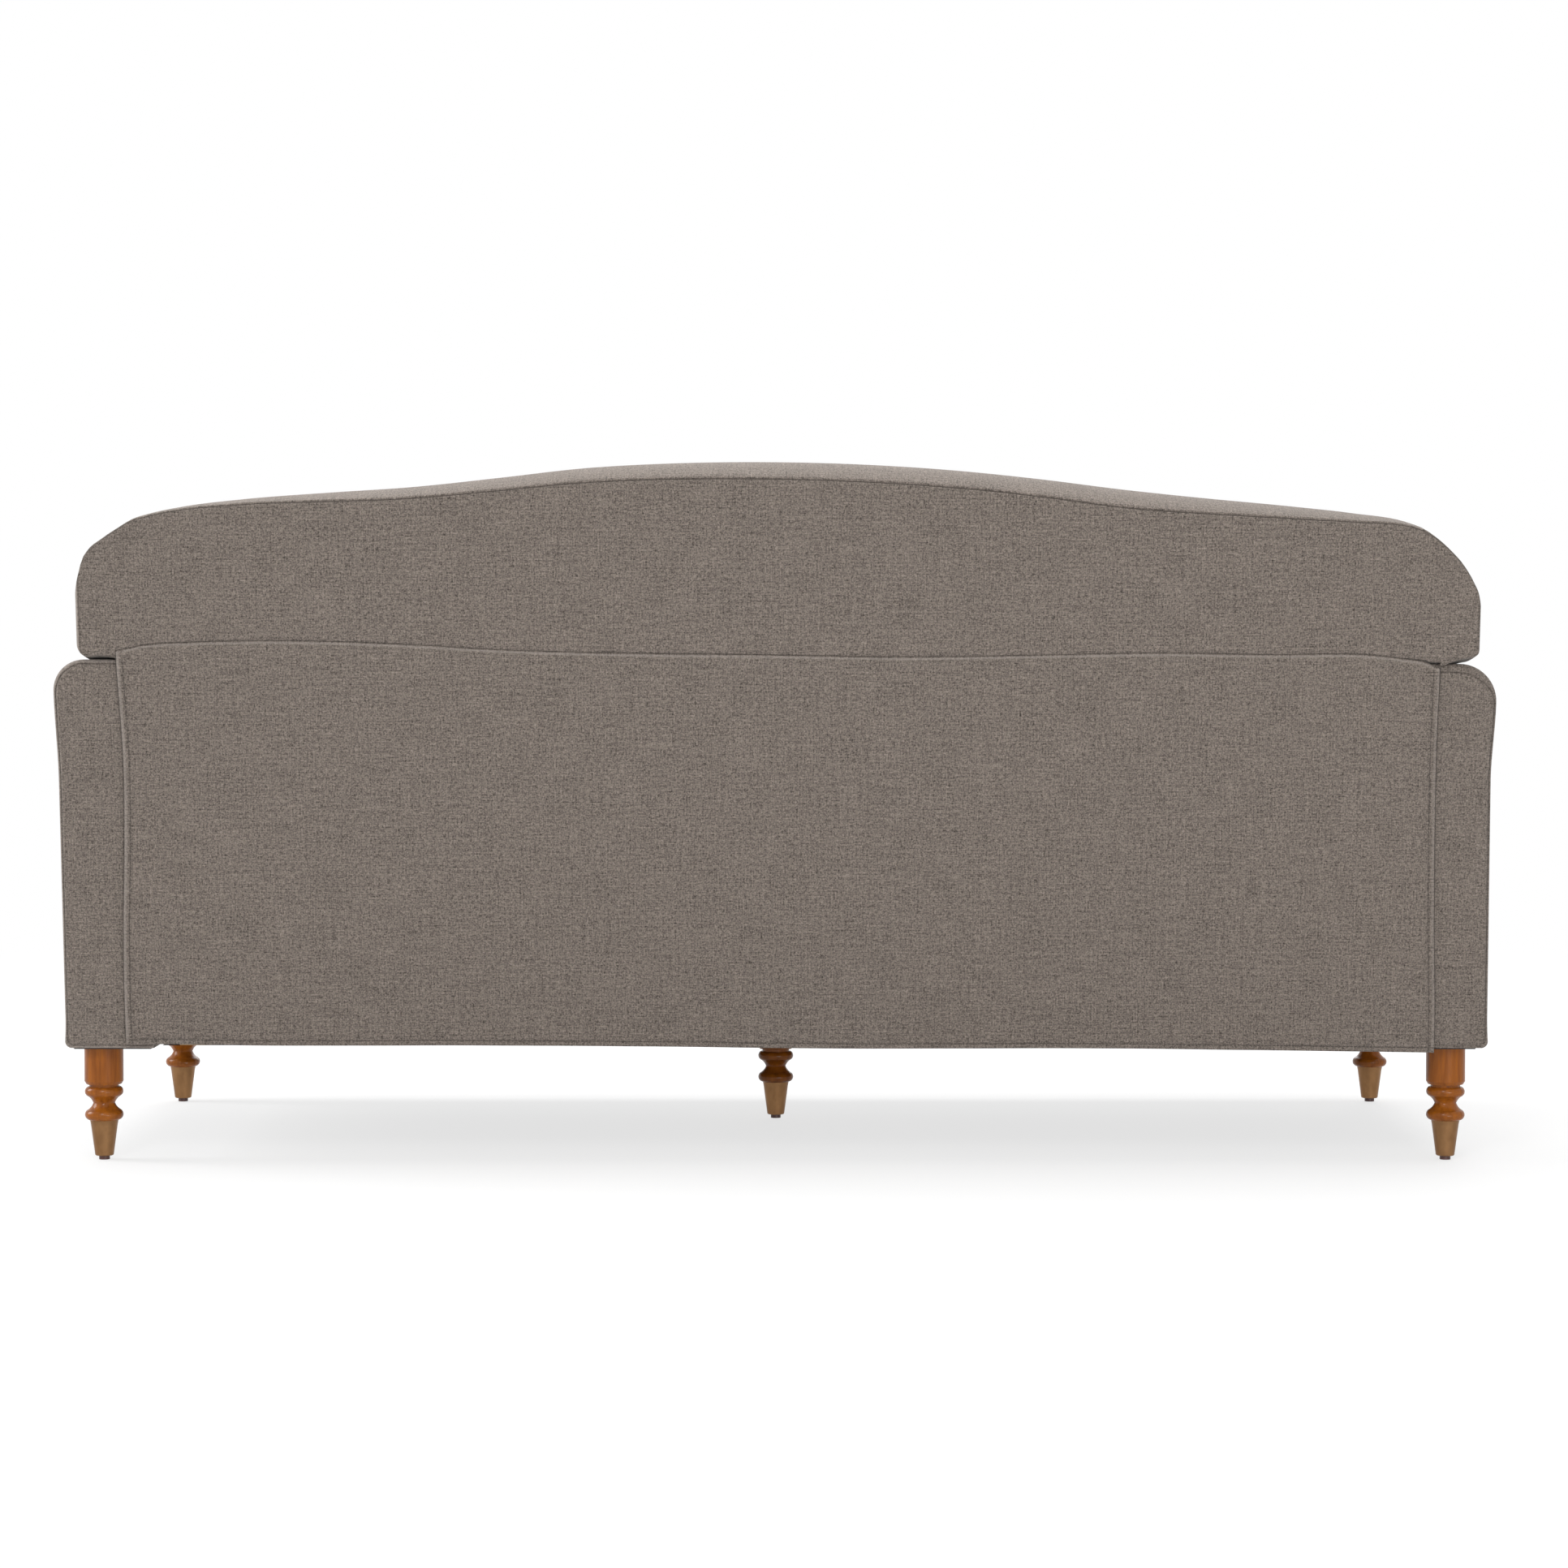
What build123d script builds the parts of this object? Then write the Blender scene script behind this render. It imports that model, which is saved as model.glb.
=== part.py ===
from build123d import *
import os
from math import atan, cos, pi, radians, sin, tan

# A camelback settee on turned legs. Millimetres, Z up from the floor.
# X runs across it, plus to the sitter's left; the seat faces minus Y; the origin is on the floor, mid-way.

# Overall sizes
overall_width = 1830.0  # over the rolls of the arms
overall_depth = 850.0  # front of the seat cushions to the top of the outside back
leg_height = 150.0  # floor to the underside of the frame
deck_height = 300.0  # top of the cloth deck under the cushions
arm_height = 648.0
crest_height = 902.0  # top of the padding at the middle of the hump

# Clearances
fit_gap = 0.3  # between a soft piece and what it lies on
side_gap = 0.5  # between the seat base and the arms, and round each cushion
hole_gap = 0.2  # a hole over the size of what passes through it
pocket_gap = 0.4  # a recess over the size of the plate in it

# Cloth, wadding and foam
cover_wall = 3.0
cushion_wall = 3.0
arm_pad_thickness = 12.0
back_wrap = 22.0  # foam over the top and ends of the back frame

# Wooden frame
rail_thickness = 24.0
post_thickness = 30.0
post_width = 60.0
base_rail_height = 116.0
sill_height = 40.0
arm_post_depth = 45.0
arm_rail_height = 30.0

# Arms
arm_width = 115.0  # inner face to the outside of the roll
arm_roll = 4.0  # how far the roll stands out over the outer side
arm_roll_drop = 148.0  # foot of the roll below the arm's top
arm_inner_radius = 40.0
arm_outer_radius = 50.0
arm_setback = 10.0  # arm front behind the cushion front
arm_front_round = 14.0
arm_rear_round = 8.0

# Back: outline heights are falls below the crest, half widths go with the width over the wings
back_rake = 7.7  # outside back from upright, degrees
seat_rake = 12.0  # front of the back padding from upright, degrees
back_depth = 197.0  # through the back at the deck
wing_setback = 22.0  # ends of the wings inside the rolls of the arms
hump_share, hump_fall = 0.28, 11.0
saddle_share, saddle_fall = 0.627, 43.0
shoulder_inset, shoulder_fall = 113.0, 67.0
wing_gap = 6.0  # underside of the wings over the arms
wing_knee_share = 0.31  # straight end of a wing, as a share of its rise to the shoulder
wing_corner, least_corner = 16.0, 2.0
shoulder_draw = 0.1  # how far a shoulder moves in for an outline drawn further in
crest_crown, hump_crown, saddle_crown, shoulder_crown = 22.0, 20.0, 14.0, 5.0  # over the rear seam
wing_crown = 4.0
front_crown_share = 0.5  # the front seam lies this share of the swell below the top of the padding
seam_rise = 7.0  # seam along the top of the rear flap, over the underside of the wings
front_swell = 16.0  # front of the padding over its edges
front_swell_share = 0.34  # swell starts this share of a wing's rise inside the edge
front_swell_foot = 540.0

# Back frame, heights measured up the slope from the underside of the frame
tack_rail_height = 70.0
tack_rail_over_seam = 26.0
lower_rail_foot, lower_rail_height = 170.0, 50.0
bottom_rail_foot, bottom_rail_height = 3.0, 60.0
top_rail_share = 0.588  # foot of the top rail, as a share of a wing's rise
back_post_inset = 5.0  # outer posts from the ends of the back
rail_lap = 28.0  # rails over the outer posts
centre_post_short, outer_post_short = 20.0, 4.7  # posts end below the foam over the top
wing_board_clear = 43.0
strap_width, strap_thickness, strap_count = 50.0, 1.5, 5
strap_foot = 180.0
strap_head_clear = 30.7  # highest strap below the foam at the shoulders

# Rear flap and its tapes
flap_thickness = 2.0
flap_margin = 75.0  # flap's side edges inside the rolls of the arms
hem_width, hem_thickness = 9.0, 0.8
hem_head = 4.0  # hem ends this far below the seam, so that the flap can fold up there
tape_thickness, tape_width = 1.2, 20.0
tape_margin = 8.0  # side tapes from the flap's edge
tape_foot = 18.0
tape_head = 36.0  # side tapes below the flap's seam

# Seat cushions
cushion_edge = 152.0  # deck to the upper seam
cushion_crown = 24.0  # middle of the cushion over the upper seam
cushion_foot = 12.0  # rounding under the lower seam
cushion_corner, least_cushion_corner = 34.0, 8.0
corner_shrink = 0.3  # loss of corner radius for an inset
cushion_draw = 7.0  # sides pulled in between the corners
cushion_waist = 3.0  # boxing pulled in between the seams
cushion_lean = 7.5  # rear boxing from upright, degrees
crown_inset = 70.0
top_inset = 190.0
crown_share = 0.72  # rise already reached at the first inset

# Seat base
base_setback = 14.0  # front border behind the cushion front
deck_edge_radius = 22.0
centre_rail_thickness = 24.0
leg_block = 100.0
corner_block_leg, corner_block_height = 70.0, 50.0
corner_block_foot = 50.0
wire = 3.8  # sinuous spring wire
spring_bar, spring_pitch = 40.0, 30.0
spring_count = 4  # under each cushion
clip_width, clip_depth, clip_wall = 20.0, 16.0, 1.2
dust_sheet = 1.0
dust_margin = 3.0

# Legs
leg_diameter = 50.4
leg_inset = 38.0  # leg axis inside the arm's outer side
leg_rear, leg_front = 50.0, 51.0  # leg axes inside the arm's rear and front at the underside
centre_leg_share = 0.69  # centre leg from the rear legs towards the front legs
ring_diameter = 49.5
neck_diameter = 28.0
neck_flare = 1.16  # neck half-way to a ring, against its waist
ring_shade, ring_rise_share = 0.84, 0.45  # foot of a ring, against its diameter and distance from the neck
groove_diameter = 38.0
ferrule_height, ferrule_toe, ferrule_lip, ferrule_wall = 51.5, 24.3, 36.7, 1.2
ferrule_round = 2.0
lip_height = 6.0
lip_flare = 1.15
glide_diameter, glide_height = 14.0, 5.0
glide_pin, glide_pin_length = 3.0, 18.0
low_ring, neck, high_ring = 57.7, 73.8, 89.8  # heights of the turnings from the floor
groove_foot, groove_head, chamfer_head = 95.0, 98.5, 102.5
chamfer_slope = 0.6

# Leg fixings
stud, stud_in_leg, stud_in_plate = 8.0, 30.0, 22.0
plate_size, plate_thickness = 60.0, 3.0
boss_diameter, boss_height = 14.0, 12.0
screw, screw_length, screw_head, screw_spread = 4.0, 20.0, 7.4, 22.0
head_depth = 2.0

# Frame bolts
bolt = 8.0
bolt_short = 2.0  # bolt ends this short of the far face of the rail that takes it
head_flats, head_height = 13.0, 5.3
flange_diameter, flange_thickness = 18.0, 2.0
insert_diameter, insert_length = 12.0, 20.0
arm_bolt_rise = 20.0
arm_bolt_shares = (0.13, 0.58, 0.975)  # along the side rails, from their front ends
back_bolt_rise = 90.0  # up the slope
back_bolt_spread = 15.0
cloth_hole = 11.0

# Worked out from the sizes above
half_width = overall_width / 2
arm_inner = half_width - arm_width
wing_half = half_width - wing_setback
hump_half = hump_share * wing_half
saddle_half = saddle_share * wing_half
shoulder_half = wing_half - shoulder_inset
shoulder_height = crest_height - shoulder_fall
wing_height = arm_height + wing_gap
seam_height = wing_height + seam_rise
wing_rise = shoulder_height - wing_height
front_swell_inset = front_swell_share * wing_rise
flap_half = half_width - flap_margin
arm_side = half_width - arm_roll
cushion_front = -overall_depth / 2
arm_front = cushion_front + arm_setback
base_front = cushion_front + base_setback
base_half = arm_inner - side_gap
rail_front = base_front + cover_wall + fit_gap
rail_back_front = rail_front + rail_thickness
rake = radians(back_rake)
rear_slope = tan(rake)
front_slope = tan(radians(seat_rake))
rear_heel = overall_depth / 2 - (crest_height - crest_crown - leg_height) * rear_slope
deck_rise = deck_height - leg_height
front_heel = rear_heel + deck_rise * (rear_slope - front_slope) - back_depth
seam = (seam_height - leg_height) / cos(rake)

# Layers of the lower back, forward from its outside face
loop_layer = flap_thickness
hook_layer = loop_layer + tape_thickness + fit_gap
rail_layer = hook_layer + tape_thickness
post_layer = rail_layer + rail_thickness
strap_layer = post_layer + post_thickness
foam_layer = strap_layer + strap_thickness + fit_gap
base_layer = strap_layer + rail_thickness
bolt_length = post_thickness + rail_thickness - bolt_short


def save(piece, name):
    piece.label = name
    export_step(piece, f"parts/{name}.step")


def rear_plane(layer):
    # Plane of the outside back, moved forward by a layer; its Y runs up the slope from the frame's underside
    outside = Plane(origin=(0, rear_heel, leg_height), x_dir=(-1, 0, 0), z_dir=(0, cos(rake), -sin(rake)))
    return outside.offset(-layer)


def rear_line(height, layer):
    # Y of a layer of the lower back at a height
    return rear_heel + (height - leg_height) * rear_slope - layer / cos(rake)


def back_section(share, inset, foot, forward=0.0, side_inset=0.0):
    # Outline of the back on a plane between its outside (share 0) and its front face (share 1)
    lean = atan(rear_slope + (front_slope - rear_slope) * share)
    heel = rear_heel + (front_heel - rear_heel) * share
    shift = inset * (2 * share - 1) - forward
    origin = (0, heel + shift / cos(lean), leg_height)
    plane = Plane(origin=origin, x_dir=(-1, 0, 0), z_dir=(0, cos(lean), -sin(lean)))
    fade = 1 - 2 * share if share < 0.5 else front_crown_share * (2 * share - 1)
    cut = inset + side_inset

    def up(height):
        return (height - leg_height) / cos(lean)

    crest = (0, up(crest_height - fade * crest_crown - cut))
    hump = (hump_half, up(crest_height - hump_fall - fade * hump_crown - cut))
    saddle = (saddle_half, up(crest_height - saddle_fall - fade * saddle_crown - cut))
    shoulder_top = up(shoulder_height - fade * shoulder_crown - cut)
    shoulder = (shoulder_half - cut * shoulder_draw, shoulder_top)
    wing = wing_half - fade * wing_crown - cut
    under = up(wing_height + cut)
    wing_knee = under + wing_knee_share * (shoulder_top - under)
    corner_radius = max(wing_corner - cut, least_corner)
    inside = base_half - cut
    with BuildSketch(plane) as section:
        with BuildLine():
            top = TangentArc(crest, hump, tangent=(1, 0))
            flank = TangentArc(hump, saddle, tangent=top % 1)
            fall = TangentArc(saddle, shoulder, tangent=flank % 1)
            TangentArc(shoulder, (wing, wing_knee), tangent=fall % 1)
            Line((wing, wing_knee), (wing, under + corner_radius))
            TangentArc((wing, under + corner_radius), (wing - corner_radius, under), tangent=(0, -1))
            Polyline((wing - corner_radius, under), (inside, under), (inside, up(foot)), (0, up(foot)))
            mirror(about=Plane.YZ)
        make_face()
    return section.sketch


def back_block(inset, foot):
    # The padded back as one form: swollen boxing all round its top and ends, and a swollen front
    front = back_section(1.0, inset, foot)
    swell = back_section(1.0, inset, front_swell_foot, front_swell, front_swell_inset)
    with BuildPart() as block:
        loft(sections=[back_section(0.0, inset, foot), back_section(0.5, inset, foot), front])
        loft(sections=[front, swell], ruled=True)
    return block.part


def arm_block(inset):
    # The left arm as one form, open for others to cut: an upright section with a roll, run from front to rear
    inner, outer, side = arm_inner + inset, half_width - inset, arm_side - inset
    top = arm_height - inset
    inner_knee, outer_knee = arm_height - arm_inner_radius, arm_height - arm_outer_radius
    roll_foot = (side, arm_height - arm_roll_drop)
    roll_turn = ((outer + side) / 2, (outer_knee + arm_height - arm_roll_drop) / 2)
    with BuildPart() as block:
        with BuildSketch(Plane.XZ.offset(-arm_front - inset)):
            with BuildLine():
                Line((inner, leg_height), (inner, inner_knee))
                TangentArc((inner, inner_knee), (arm_inner + arm_inner_radius, top), tangent=(0, 1))
                Line((arm_inner + arm_inner_radius, top), (half_width - arm_outer_radius, top))
                TangentArc((half_width - arm_outer_radius, top), (outer, outer_knee), tangent=(1, 0))
                swell = TangentArc((outer, outer_knee), roll_turn, tangent=(0, -1))
                TangentArc(roll_turn, roll_foot, tangent=swell % 1)
                Polyline(roll_foot, (side, leg_height), (inner, leg_height))
            make_face()
        extrude(amount=-overall_depth)
        split(bisect_by=rear_plane(rail_layer + inset), keep=Keep.BOTTOM)
        front_edges = block.faces().sort_by(Axis.Y)[0].edges()
        if inset < arm_front_round:
            fillet(front_edges.sort_by(Axis.Z)[1:], arm_front_round - inset)
        rear_edges = block.faces().sort_by(Axis.Y)[-1].edges()
        if inset < arm_rear_round:
            fillet(rear_edges.sort_by(Axis.Z)[1:], arm_rear_round - inset)
    return block.part


def cushion_section(height, inset, draw):
    # Plan of the left cushion at a height: four corners, with sides that bow inwards between them
    left, right = base_half - side_gap - inset, side_gap + inset
    front = cushion_front + inset
    lean = (height - deck_height) * tan(radians(cushion_lean))
    rear = rear_line(deck_height, 0) - back_depth - side_gap + lean - inset
    round_in = max(cushion_corner - inset * corner_shrink, least_cushion_corner)
    middle_x, middle_y = (left + right) / 2, (front + rear) / 2
    with BuildSketch(Plane.XY.offset(height)) as section:
        with BuildLine():
            ThreePointArc((right + round_in, front), (middle_x, front + draw), (left - round_in, front))
            TangentArc((left - round_in, front), (left, front + round_in), tangent=(1, 0))
            ThreePointArc((left, front + round_in), (left - draw, middle_y), (left, rear - round_in))
            TangentArc((left, rear - round_in), (left - round_in, rear), tangent=(0, 1))
            ThreePointArc((left - round_in, rear), (middle_x, rear - draw), (right + round_in, rear))
            TangentArc((right + round_in, rear), (right, rear - round_in), tangent=(-1, 0))
            ThreePointArc((right, rear - round_in), (right + draw, middle_y), (right, front + round_in))
            TangentArc((right, front + round_in), (right + round_in, front), tangent=(0, -1))
        make_face()
    return section.sketch


def cushion_block(inset):
    # The left cushion as one form: rounded foot, drawn-in boxing and a crown
    foot = deck_height + fit_gap + inset
    low = deck_height + cushion_foot + inset / 2
    high = deck_height + cushion_edge - inset / 2
    top = deck_height + cushion_edge + cushion_crown - inset
    waist = (low + high) / 2
    shelf = high + crown_share * (top - high)
    low_seam = cushion_section(low, inset, cushion_draw)
    high_seam = cushion_section(high, inset, cushion_draw)
    boxing = cushion_section(waist, inset + cushion_waist, cushion_draw)
    with BuildPart() as block:
        loft(sections=[cushion_section(foot, inset + cushion_foot, cushion_draw), low_seam], ruled=True)
        loft(sections=[low_seam, boxing, high_seam])
        shelf_section = cushion_section(shelf, inset + crown_inset, cushion_draw)
        loft(sections=[high_seam, shelf_section, cushion_section(top, inset + top_inset, cushion_draw)])
    return block.part


# Turned legs, with their ferrules, glides and fixings
leg_rear_place = rear_line(leg_height, 0) - leg_rear
leg_front_place = arm_front + leg_front
leg_across = arm_side - leg_inset
centre_place = leg_rear_place + centre_leg_share * (leg_front_place - leg_rear_place)
leg_places = {
    "rear_left": (leg_across, leg_rear_place),
    "rear_right": (-leg_across, leg_rear_place),
    "front_left": (leg_across, leg_front_place),
    "front_right": (-leg_across, leg_front_place),
    "centre": (0.0, centre_place),
}
arm_leg_places = [leg_places["rear_left"], leg_places["front_left"]]


def turned_leg(place):
    # Tapered toe inside the ferrule, two rings with a waisted neck between them, a groove and a round block
    ring, waist, block = ring_diameter / 2, neck_diameter / 2, leg_diameter / 2
    inner_toe = ferrule_toe / 2 - ferrule_wall - hole_gap
    inner_lip = ferrule_lip / 2 - ferrule_wall - lip_flare - hole_gap
    seat = ferrule_lip / 2
    toe_foot = glide_height + ferrule_wall + hole_gap
    ring_foot = ring * ring_shade
    ring_rise = (neck - low_ring) * ring_rise_share
    half_neck = waist * neck_flare
    with BuildPart() as leg:
        with BuildSketch(Plane.XZ):
            with BuildLine():
                Polyline((0, toe_foot), (inner_toe, toe_foot), (inner_lip, ferrule_height),
                         (seat, ferrule_height))
                ThreePointArc((seat, ferrule_height), (ring, low_ring), (ring_foot, low_ring + ring_rise))
                rise = (neck + low_ring + ring_rise) / 2
                ThreePointArc((ring_foot, low_ring + ring_rise), (half_neck, rise), (waist, neck))
                fall = (neck + high_ring - ring_rise) / 2
                ThreePointArc((waist, neck), (half_neck, fall), (ring_foot, high_ring - ring_rise))
                ThreePointArc((ring_foot, high_ring - ring_rise), (ring, high_ring), (ring_foot, groove_foot))
                groove = groove_diameter / 2
                Polyline((ring_foot, groove_foot), (groove, groove_foot), (groove, groove_head))
                shoulder = block - (chamfer_head - groove_head) * chamfer_slope
                Polyline((groove, groove_head), (shoulder, groove_head), (block, chamfer_head),
                         (block, leg_height))
                Polyline((block, leg_height), (0, leg_height), (0, toe_foot))
            make_face()
        revolve(axis=Axis.Z)
        with Locations((0, 0, leg_height)):
            Cylinder((stud + hole_gap) / 2, stud_in_leg + hole_gap,
                     align=(Align.CENTER, Align.CENTER, Align.MAX), mode=Mode.SUBTRACT)
        with Locations((0, 0, toe_foot)):
            Cylinder((glide_pin + hole_gap) / 2, glide_pin_length,
                     align=(Align.CENTER, Align.CENTER, Align.MIN), mode=Mode.SUBTRACT)
    return leg.part.moved(Location((place[0], place[1], 0)))


def ferrule_cup(place):
    # Thin brass cup with a flared lip; the glide's pin passes through its floor
    toe, lip, wall = ferrule_toe / 2, ferrule_lip / 2, ferrule_wall
    body = lip - lip_flare
    knee = ferrule_height - lip_height
    floor = glide_height + wall
    with BuildPart() as cup:
        with BuildSketch(Plane.XZ):
            with BuildLine():
                toe_turn, toe_side = (toe - ferrule_round, glide_height), (toe, glide_height + ferrule_round)
                Polyline((glide_pin / 2 + hole_gap, glide_height), toe_turn)
                TangentArc(toe_turn, toe_side, tangent=(1, 0))
                Polyline(toe_side, (body, knee), (lip, ferrule_height))
                Polyline((lip, ferrule_height), (body - wall, ferrule_height), (toe - wall, floor))
                Polyline((toe - wall, floor), (glide_pin / 2 + hole_gap, floor))
                Line((glide_pin / 2 + hole_gap, floor), (glide_pin / 2 + hole_gap, glide_height))
            make_face()
        revolve(axis=Axis.Z)
    return cup.part.moved(Location((place[0], place[1], 0)))


for name, place in leg_places.items():
    save(turned_leg(place), "centre_leg" if name == "centre" else f"{name}_leg")
    save(ferrule_cup(place), f"{name}_ferrule")

with BuildPart() as glides:
    with Locations([(x, y, 0) for x, y in leg_places.values()]):
        Cylinder(glide_diameter / 2, glide_height, align=(Align.CENTER, Align.CENTER, Align.MIN))
        Cylinder(glide_pin / 2, glide_height + glide_pin_length,
                 align=(Align.CENTER, Align.CENTER, Align.MIN))
save(glides.part, "glides")

with BuildPart() as studs:
    with Locations([(x, y, leg_height - stud_in_leg) for x, y in leg_places.values()]):
        Cylinder(stud / 2, stud_in_leg + stud_in_plate, align=(Align.CENTER, Align.CENTER, Align.MIN))
save(studs.part, "hanger_bolts")

plate_corners = [(x, y) for x in (-screw_spread, screw_spread) for y in (-screw_spread, screw_spread)]
screw_places = [(x + dx, y + dy) for x, y in leg_places.values() for dx, dy in plate_corners]

with BuildPart() as plates:
    with Locations([(x, y, leg_height) for x, y in leg_places.values()]):
        Box(plate_size, plate_size, plate_thickness, align=(Align.CENTER, Align.CENTER, Align.MIN))
        Cylinder(boss_diameter / 2, plate_thickness + boss_height,
                 align=(Align.CENTER, Align.CENTER, Align.MIN))
        Cylinder((stud + hole_gap) / 2, plate_thickness + boss_height,
                 align=(Align.CENTER, Align.CENTER, Align.MIN), mode=Mode.SUBTRACT)
    with Locations([(x, y, leg_height) for x, y in screw_places]):
        Cylinder((screw + hole_gap) / 2, plate_thickness, align=(Align.CENTER, Align.CENTER, Align.MIN),
                 mode=Mode.SUBTRACT)
        Cylinder((screw_head + hole_gap) / 2, head_depth, align=(Align.CENTER, Align.CENTER, Align.MIN),
                 mode=Mode.SUBTRACT)
save(plates.part, "leg_plates")

with BuildPart() as screws:
    with Locations([(x, y, leg_height) for x, y in screw_places]):
        Cylinder(screw_head / 2, head_depth, align=(Align.CENTER, Align.CENTER, Align.MIN))
        Cylinder(screw / 2, screw_length, align=(Align.CENTER, Align.CENTER, Align.MIN))
save(screws.part, "leg_plate_screws")


def seat_for_plate(places):
    # What a leg plate, its boss and its screws take out of the wood above them
    with BuildPart() as cutter:
        with Locations([(x, y, leg_height) for x, y in places]):
            Box(plate_size + pocket_gap, plate_size + pocket_gap, plate_thickness,
                align=(Align.CENTER, Align.CENTER, Align.MIN))
            Cylinder((boss_diameter + pocket_gap) / 2, stud_in_plate + pocket_gap,
                     align=(Align.CENTER, Align.CENTER, Align.MIN))
        with Locations([(x + dx, y + dy, leg_height) for x, y in places for dx, dy in plate_corners]):
            Cylinder((screw + hole_gap) / 2, screw_length + hole_gap,
                     align=(Align.CENTER, Align.CENTER, Align.MIN))
    return cutter.part


# Frame bolts: a flanged hex head at the near face, a threaded insert in the far piece
head_side = base_half - rail_thickness
insert_side = arm_inner + cover_wall + fit_gap
bolt_height = leg_height + arm_bolt_rise


def along_bolts(plane, places, near, far, diameter):
    # Round bars between two depths along a plane's normal, at places on the plane
    with BuildPart() as bars:
        with BuildSketch(plane.offset(near)):
            with Locations(places):
                Circle(diameter / 2)
        extrude(amount=far - near)
    return bars.part


def bolts_at(plane, places, near):
    # Bolts whose flanges bear at one depth, pointing along the plane's normal
    with BuildPart() as bolts:
        with BuildSketch(plane.offset(near)):
            with Locations(places):
                RegularPolygon(head_flats / 2, 6, major_radius=False)
        extrude(amount=-flange_thickness - head_height)
        add(along_bolts(plane, places, near - flange_thickness, near, flange_diameter))
        add(along_bolts(plane, places, near, near + bolt_length, bolt))
    return bolts.part


arm_bolt_plane = Plane.YZ
rail_run = rear_line(bolt_height, base_layer) - rail_back_front
arm_bolt_spots = [(rail_back_front + share * rail_run, bolt_height) for share in arm_bolt_shares]
outer_post = base_half - back_post_inset - post_width / 2
back_bolt_plane = Plane(origin=rear_plane(0).origin, x_dir=(1, 0, 0), z_dir=-rear_plane(0).z_dir)
back_bolt_spots = [(x + dx, back_bolt_rise) for x in (-outer_post, 0.0, outer_post)
                   for dx in (-back_bolt_spread, back_bolt_spread)]
left_bolts = bolts_at(arm_bolt_plane, arm_bolt_spots, head_side)

with BuildPart() as frame_bolts:
    add(left_bolts)
    mirror(left_bolts, about=Plane.YZ)
    add(bolts_at(back_bolt_plane, back_bolt_spots, post_layer))
save(frame_bolts.part, "frame_bolts")

left_inserts = along_bolts(arm_bolt_plane, arm_bolt_spots, insert_side, insert_side + insert_length,
                           insert_diameter)
with BuildPart() as inserts:
    add(left_inserts)
    mirror(left_inserts, about=Plane.YZ)
    add(along_bolts(back_bolt_plane, back_bolt_spots, strap_layer, strap_layer + insert_length,
                    insert_diameter))
    left_bores = along_bolts(arm_bolt_plane, arm_bolt_spots, 0, half_width, bolt + hole_gap)
    add(left_bores, mode=Mode.SUBTRACT)
    mirror(left_bores, about=Plane.YZ, mode=Mode.SUBTRACT)
    add(along_bolts(back_bolt_plane, back_bolt_spots, 0, base_layer, bolt + hole_gap), mode=Mode.SUBTRACT)
save(inserts.part, "threaded_inserts")

# Arms: the left one is made, then mirrored
arm_core_inset = cover_wall + fit_gap + arm_pad_thickness
arm_frame_inset = arm_core_inset + fit_gap
sill_top = leg_height + sill_height
arm_rail_foot = arm_height - arm_frame_inset - arm_rail_height
sill_plane = Plane.XY.offset(sill_top)

with BuildPart() as arm_cover:
    add(arm_block(0))
    add(arm_block(cover_wall), mode=Mode.SUBTRACT)
    add(along_bolts(arm_bolt_plane, arm_bolt_spots, arm_inner - cover_wall, insert_side, cloth_hole),
        mode=Mode.SUBTRACT)

with BuildPart() as arm_pad:
    add(arm_block(cover_wall + fit_gap))
    add(arm_block(arm_core_inset), mode=Mode.SUBTRACT)
    split(bisect_by=sill_plane, keep=Keep.TOP)

with BuildPart() as arm_sill:
    add(arm_block(cover_wall + fit_gap))
    split(bisect_by=sill_plane, keep=Keep.BOTTOM)
    add(seat_for_plate(arm_leg_places), mode=Mode.SUBTRACT)
    add(along_bolts(arm_bolt_plane, arm_bolt_spots, arm_inner, insert_side + insert_length + hole_gap,
                    insert_diameter + hole_gap), mode=Mode.SUBTRACT)
    add(along_bolts(arm_bolt_plane, arm_bolt_spots, arm_inner, head_side + bolt_length + hole_gap,
                    bolt + hole_gap), mode=Mode.SUBTRACT)

with BuildPart() as arm_top_rail:
    add(arm_block(arm_frame_inset))
    split(bisect_by=Plane.XY.offset(arm_rail_foot), keep=Keep.TOP)

with BuildPart() as arm_front_post:
    add(arm_block(arm_frame_inset))
    split(bisect_by=Plane.XY.offset(arm_rail_foot), keep=Keep.BOTTOM)
    split(bisect_by=sill_plane, keep=Keep.TOP)
    split(bisect_by=Plane.XZ.offset(-arm_front - arm_frame_inset - arm_post_depth), keep=Keep.TOP)

with BuildPart() as arm_rear_post:
    add(arm_block(arm_frame_inset))
    split(bisect_by=Plane.XY.offset(arm_rail_foot), keep=Keep.BOTTOM)
    split(bisect_by=sill_plane, keep=Keep.TOP)
    split(bisect_by=rear_plane(rail_layer + arm_frame_inset + arm_post_depth), keep=Keep.TOP)

arm_pieces = {
    "arm_cover": arm_cover,
    "arm_pad": arm_pad,
    "arm_sill": arm_sill,
    "arm_top_rail": arm_top_rail,
    "arm_front_post": arm_front_post,
    "arm_rear_post": arm_rear_post,
}
for name, piece in arm_pieces.items():
    save(piece.part, f"left_{name}")
    with BuildPart() as other_side:
        mirror(piece.part, about=Plane.YZ)
    save(other_side.part, f"right_{name}")

# Seat base
rail_top = leg_height + base_rail_height
side_profile = [
    (rail_back_front, leg_height),
    (rear_line(leg_height, base_layer), leg_height),
    (rear_line(rail_top, base_layer), rail_top),
    (rail_back_front, rail_top),
]

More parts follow.
